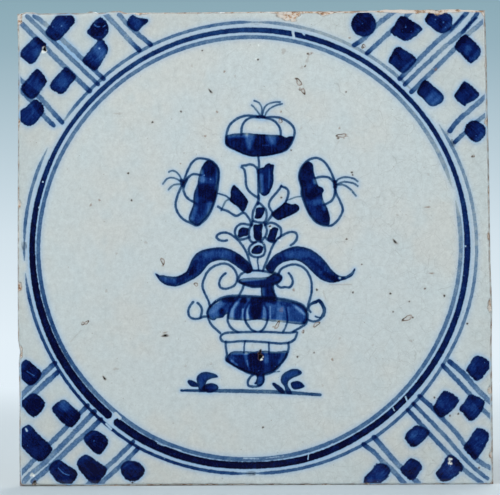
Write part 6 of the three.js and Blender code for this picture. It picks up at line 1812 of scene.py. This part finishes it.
# broad ochre clouds in the buff, pale sand, then patches of dirt, and painted shade in the hollows
wide = noise(tree, given["Vector"], 26, 3, 0.6)
coarse = noise(tree, given["Vector"], 1.0, 6, 0.72)
patchy = noise(tree, given["Vector"], 9, 7, 0.7)
colour = blend_colour(tree, step_between(tree, wide, 0.35, 0.7, 0, 0.8), given["Buff"],
                      given["Ochre"])
colour = blend_colour(tree, step_between(tree, coarse, 0.4, 0.62, 0, 0.6), colour, given["Pale"])
dirt_and_hollow_shade = times(tree, step_between(tree, patchy, 0.5, 0.72), given["Soil"])
# painted shade: darker where the clay's bumps are low
dirt_and_hollow_shade = math_node(tree, "ADD", dirt_and_hollow_shade, step_between(tree, coarse, 0.44, 0.3, 0, 0.5))
colour = blend_colour(tree, dirt_and_hollow_shade, colour, given["Dirt"])

# pores, darkened with painted shade
dots, chosen = specks(tree, given["Vector"], 0.9, 0.12, 0.3)
hole = times(tree, dots, step_between(tree, chosen["Blue"], 0.7, 0.74))
colour = blend_colour(tree, times(tree, hole, 0.7), colour, srgb(70, 56, 46))

# scraps of glaze that ran over the rim, and painted shade on the clay between them, just under the
# glaze's lip
place = xyz(tree, given["Vector"])
scraps = noise(tree, given["Vector"], 1.6, 5, 0.7)
rim = times(tree, step_between(tree, place["Y"], -0.0048, -0.0062),
            step_between(tree, scraps, 0.44, 0.52))
shade_under_lip = times(tree, step_between(tree, place["Y"], -0.0052, -0.0064),
              step_between(tree, scraps, 0.45, 0.38, 0, 0.75))
colour = blend_colour(tree, times(tree, rim, 0.9), colour, given["Rim"])
colour = blend_colour(tree, shade_under_lip, colour, srgb(112, 80, 62))
tree.links.new(colour, out["Color"])
tree.links.new(step_between(tree, coarse, 0.3, 0.7, 0.8, 0.96), out["Roughness"])
tree.links.new(times_plus(tree, hole, -0.6, times_plus(tree, patchy, 0.6, coarse)), out["Height"])
fired_clay = tree
print("fired clay:", len(tree.nodes), "nodes")

# %% [markdown]
# ## Materials
#
# The groups' own values say how ragged, cloudy and streaky a brush stroke is. Neighbouring
# pieces show parts of the same marks, so the four finishes leave those values alone and no seam
# shows between them. The glassy shader itself stays in each material.

# %% Glazed materials
GLASS_INDEX = 1.5
PEEL_DEPTH = 0.00002  # metres


def glazed(name):
    """A glossy glazed material that reads the painting's numbers from the mesh."""
    material, tree, output = new_material(name)
    vector = add_node(tree, "ShaderNodeTexCoord").outputs["Object"]
    number = {label: add_node(tree, "ShaderNodeAttribute", attribute_name=label).outputs["Fac"]
              for label in GRIDS}
    white = add_node(tree, "ShaderNodeGroup", {"Vector": vector}, node_tree=white_glaze).outputs
    blue = add_node(tree, "ShaderNodeGroup", {
        "Vector": vector, "Glaze": white["Color"], "Edge": number["paint_edge"],
        "Tone": number["paint_tone"], "Bleed": number["paint_bleed"],
    }, node_tree=cobalt_in_glaze).outputs
    marks = add_node(tree, "ShaderNodeGroup", {
        "Vector": vector, "Color": blue["Color"], "Roughness": white["Roughness"],
        "Height": white["Height"], "Rust": number["spot_rust"], "Soot": number["spot_soot_and_hole_shade"],
        "Chalk": number["spot_highlight_and_pale"],
    }, node_tree=kiln_marks).outputs
    bump = add_node(tree, "ShaderNodeBump", {
        "Height": marks["Height"], "Distance": PEEL_DEPTH, "Strength": 1.0})
    shader = add_node(tree, "ShaderNodeBsdfPrincipled", {
        "Base Color": marks["Color"], "Roughness": marks["Roughness"],
        "Normal": bump.outputs["Normal"], "IOR": GLASS_INDEX})
    tree.links.new(shader.outputs["BSDF"], output.inputs["Surface"])
    return material


MATERIALS = {
    "tin_glaze": glazed("white_tin_glaze"),
    "cobalt_pale": glazed("pale_cobalt_line"),
    "cobalt_mid": glazed("drawn_cobalt_line"),
    "cobalt_dark": glazed("dark_cobalt_wash"),
}
print("glazed materials:", len(MATERIALS))

# %% Clay material
CLAY_BUMP = 0.00025  # metres

clay_material, tree, output = new_material("buff_fired_clay")
vector = add_node(tree, "ShaderNodeTexCoord").outputs["Object"]
body = add_node(tree, "ShaderNodeGroup", {"Vector": vector}, node_tree=fired_clay).outputs
bump = add_node(tree, "ShaderNodeBump", {
    "Height": body["Height"], "Distance": CLAY_BUMP, "Strength": 0.9})
shader = add_node(tree, "ShaderNodeBsdfPrincipled", {
    "Base Color": body["Color"], "Roughness": body["Roughness"],
    "Normal": bump.outputs["Normal"], "Specular IOR Level": 0.25})
tree.links.new(shader.outputs["BSDF"], output.inputs["Surface"])
print("clay material:", clay_material.name)

# %% [markdown]
# ## Putting the tile together
#
# Each piece says what it stands for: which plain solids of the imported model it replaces, which
# finish it takes, and that it rides on the tile's one body. A lay that crosses another lies a
# few hundredths of a millimetre higher, so that the later coat is on top, as it was painted.

# %% Clay and glaze
clay_mesh.materials.append(clay_material)
glaze_mesh.materials.append(MATERIALS["tin_glaze"])
for piece, node, slot in ((clay_biscuit, "clay_body", "clay"),
                          (glaze_skin, "tin_glaze", "tin_glaze")):
    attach(piece, "root")
    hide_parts(node)
print("clay and glaze in place")

# %% Films
SINK = 0.03  # the underside of a film lies this deep in the glaze
WASH_HEIGHT = 0.05
CROSSING_WASHES = {"bud_left": 0.053, "bud_right": 0.053, "vase_bowl_wash": 0.053}
FILMS = [  # lay, piece, height above the glaze in mm, finish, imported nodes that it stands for
    *((f"corner_lines_{c}", f"crossed_lines_{c}", 0.015, "cobalt_pale", [f"corner_lines_{c}"])
      for c in SIGNS),
    ("ring_inner_line", "ring_thin_line", 0.03, "cobalt_pale", ["ring_inner_line"]),
    ("ring_main_band", "ring_broad_line", 0.035, "cobalt_dark", ["ring_main_band"]),
    *((f"dabs_{c}", f"brush_dabs_{c}", 0.045, "cobalt_dark", [f"dab_{c}_{n}" for n in range(1, 9)])
      for c in SIGNS),
    ("bouquet_outlines", "flower_drawing", 0.03, "cobalt_mid", ["bouquet_outlines"]),
    ("vase_outlines", "vase_drawing", 0.034, "cobalt_mid", ["vase_outlines"]),
    *((wash, "wash_" + wash.removesuffix("_wash").removesuffix("_petal"),
       CROSSING_WASHES.get(wash, WASH_HEIGHT), "cobalt_dark", [wash]) for wash in WASHES),
    ("berries", "wash_berries", 0.06, "cobalt_dark", [f"berry_{n}" for n in range(1, 6)]),
    ("ground_and_grass", "ground_line_and_grass", 0.03, "cobalt_mid",
     ["ground_and_grass", "grass_dab_right"]),
    ("glaze_pits", "kiln_marks_in_glaze", 0.075, "tin_glaze", []),
]

total = 0
for lay_name, piece_name, relief, slot, nodes in FILMS:
    pits = lay_name == "glaze_pits"
    sheet = film_mesh(lay_name, 0.0 if pits else FILM_MARGIN, PIT_CELL if pits else FILM_CELL)
    solid = plain_mesh(piece_name, sheet, film_tree, {
        "Glaze": glaze_skin, "Relief": relief * MM, "Sink": SINK * MM, "Material": MATERIALS[slot]})
    piece = new_piece(piece_name, solid)
    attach(piece, "root")
    if nodes:
        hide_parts(*nodes)
    total += len(solid.polygons)
    print(f"{piece_name}: {len(solid.polygons)} faces")
print("faces of all films:", total)

# %% Size and finish
low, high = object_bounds()
print("visual box, mm:", [round(v / MM, 2) for v in (*low, *high)])
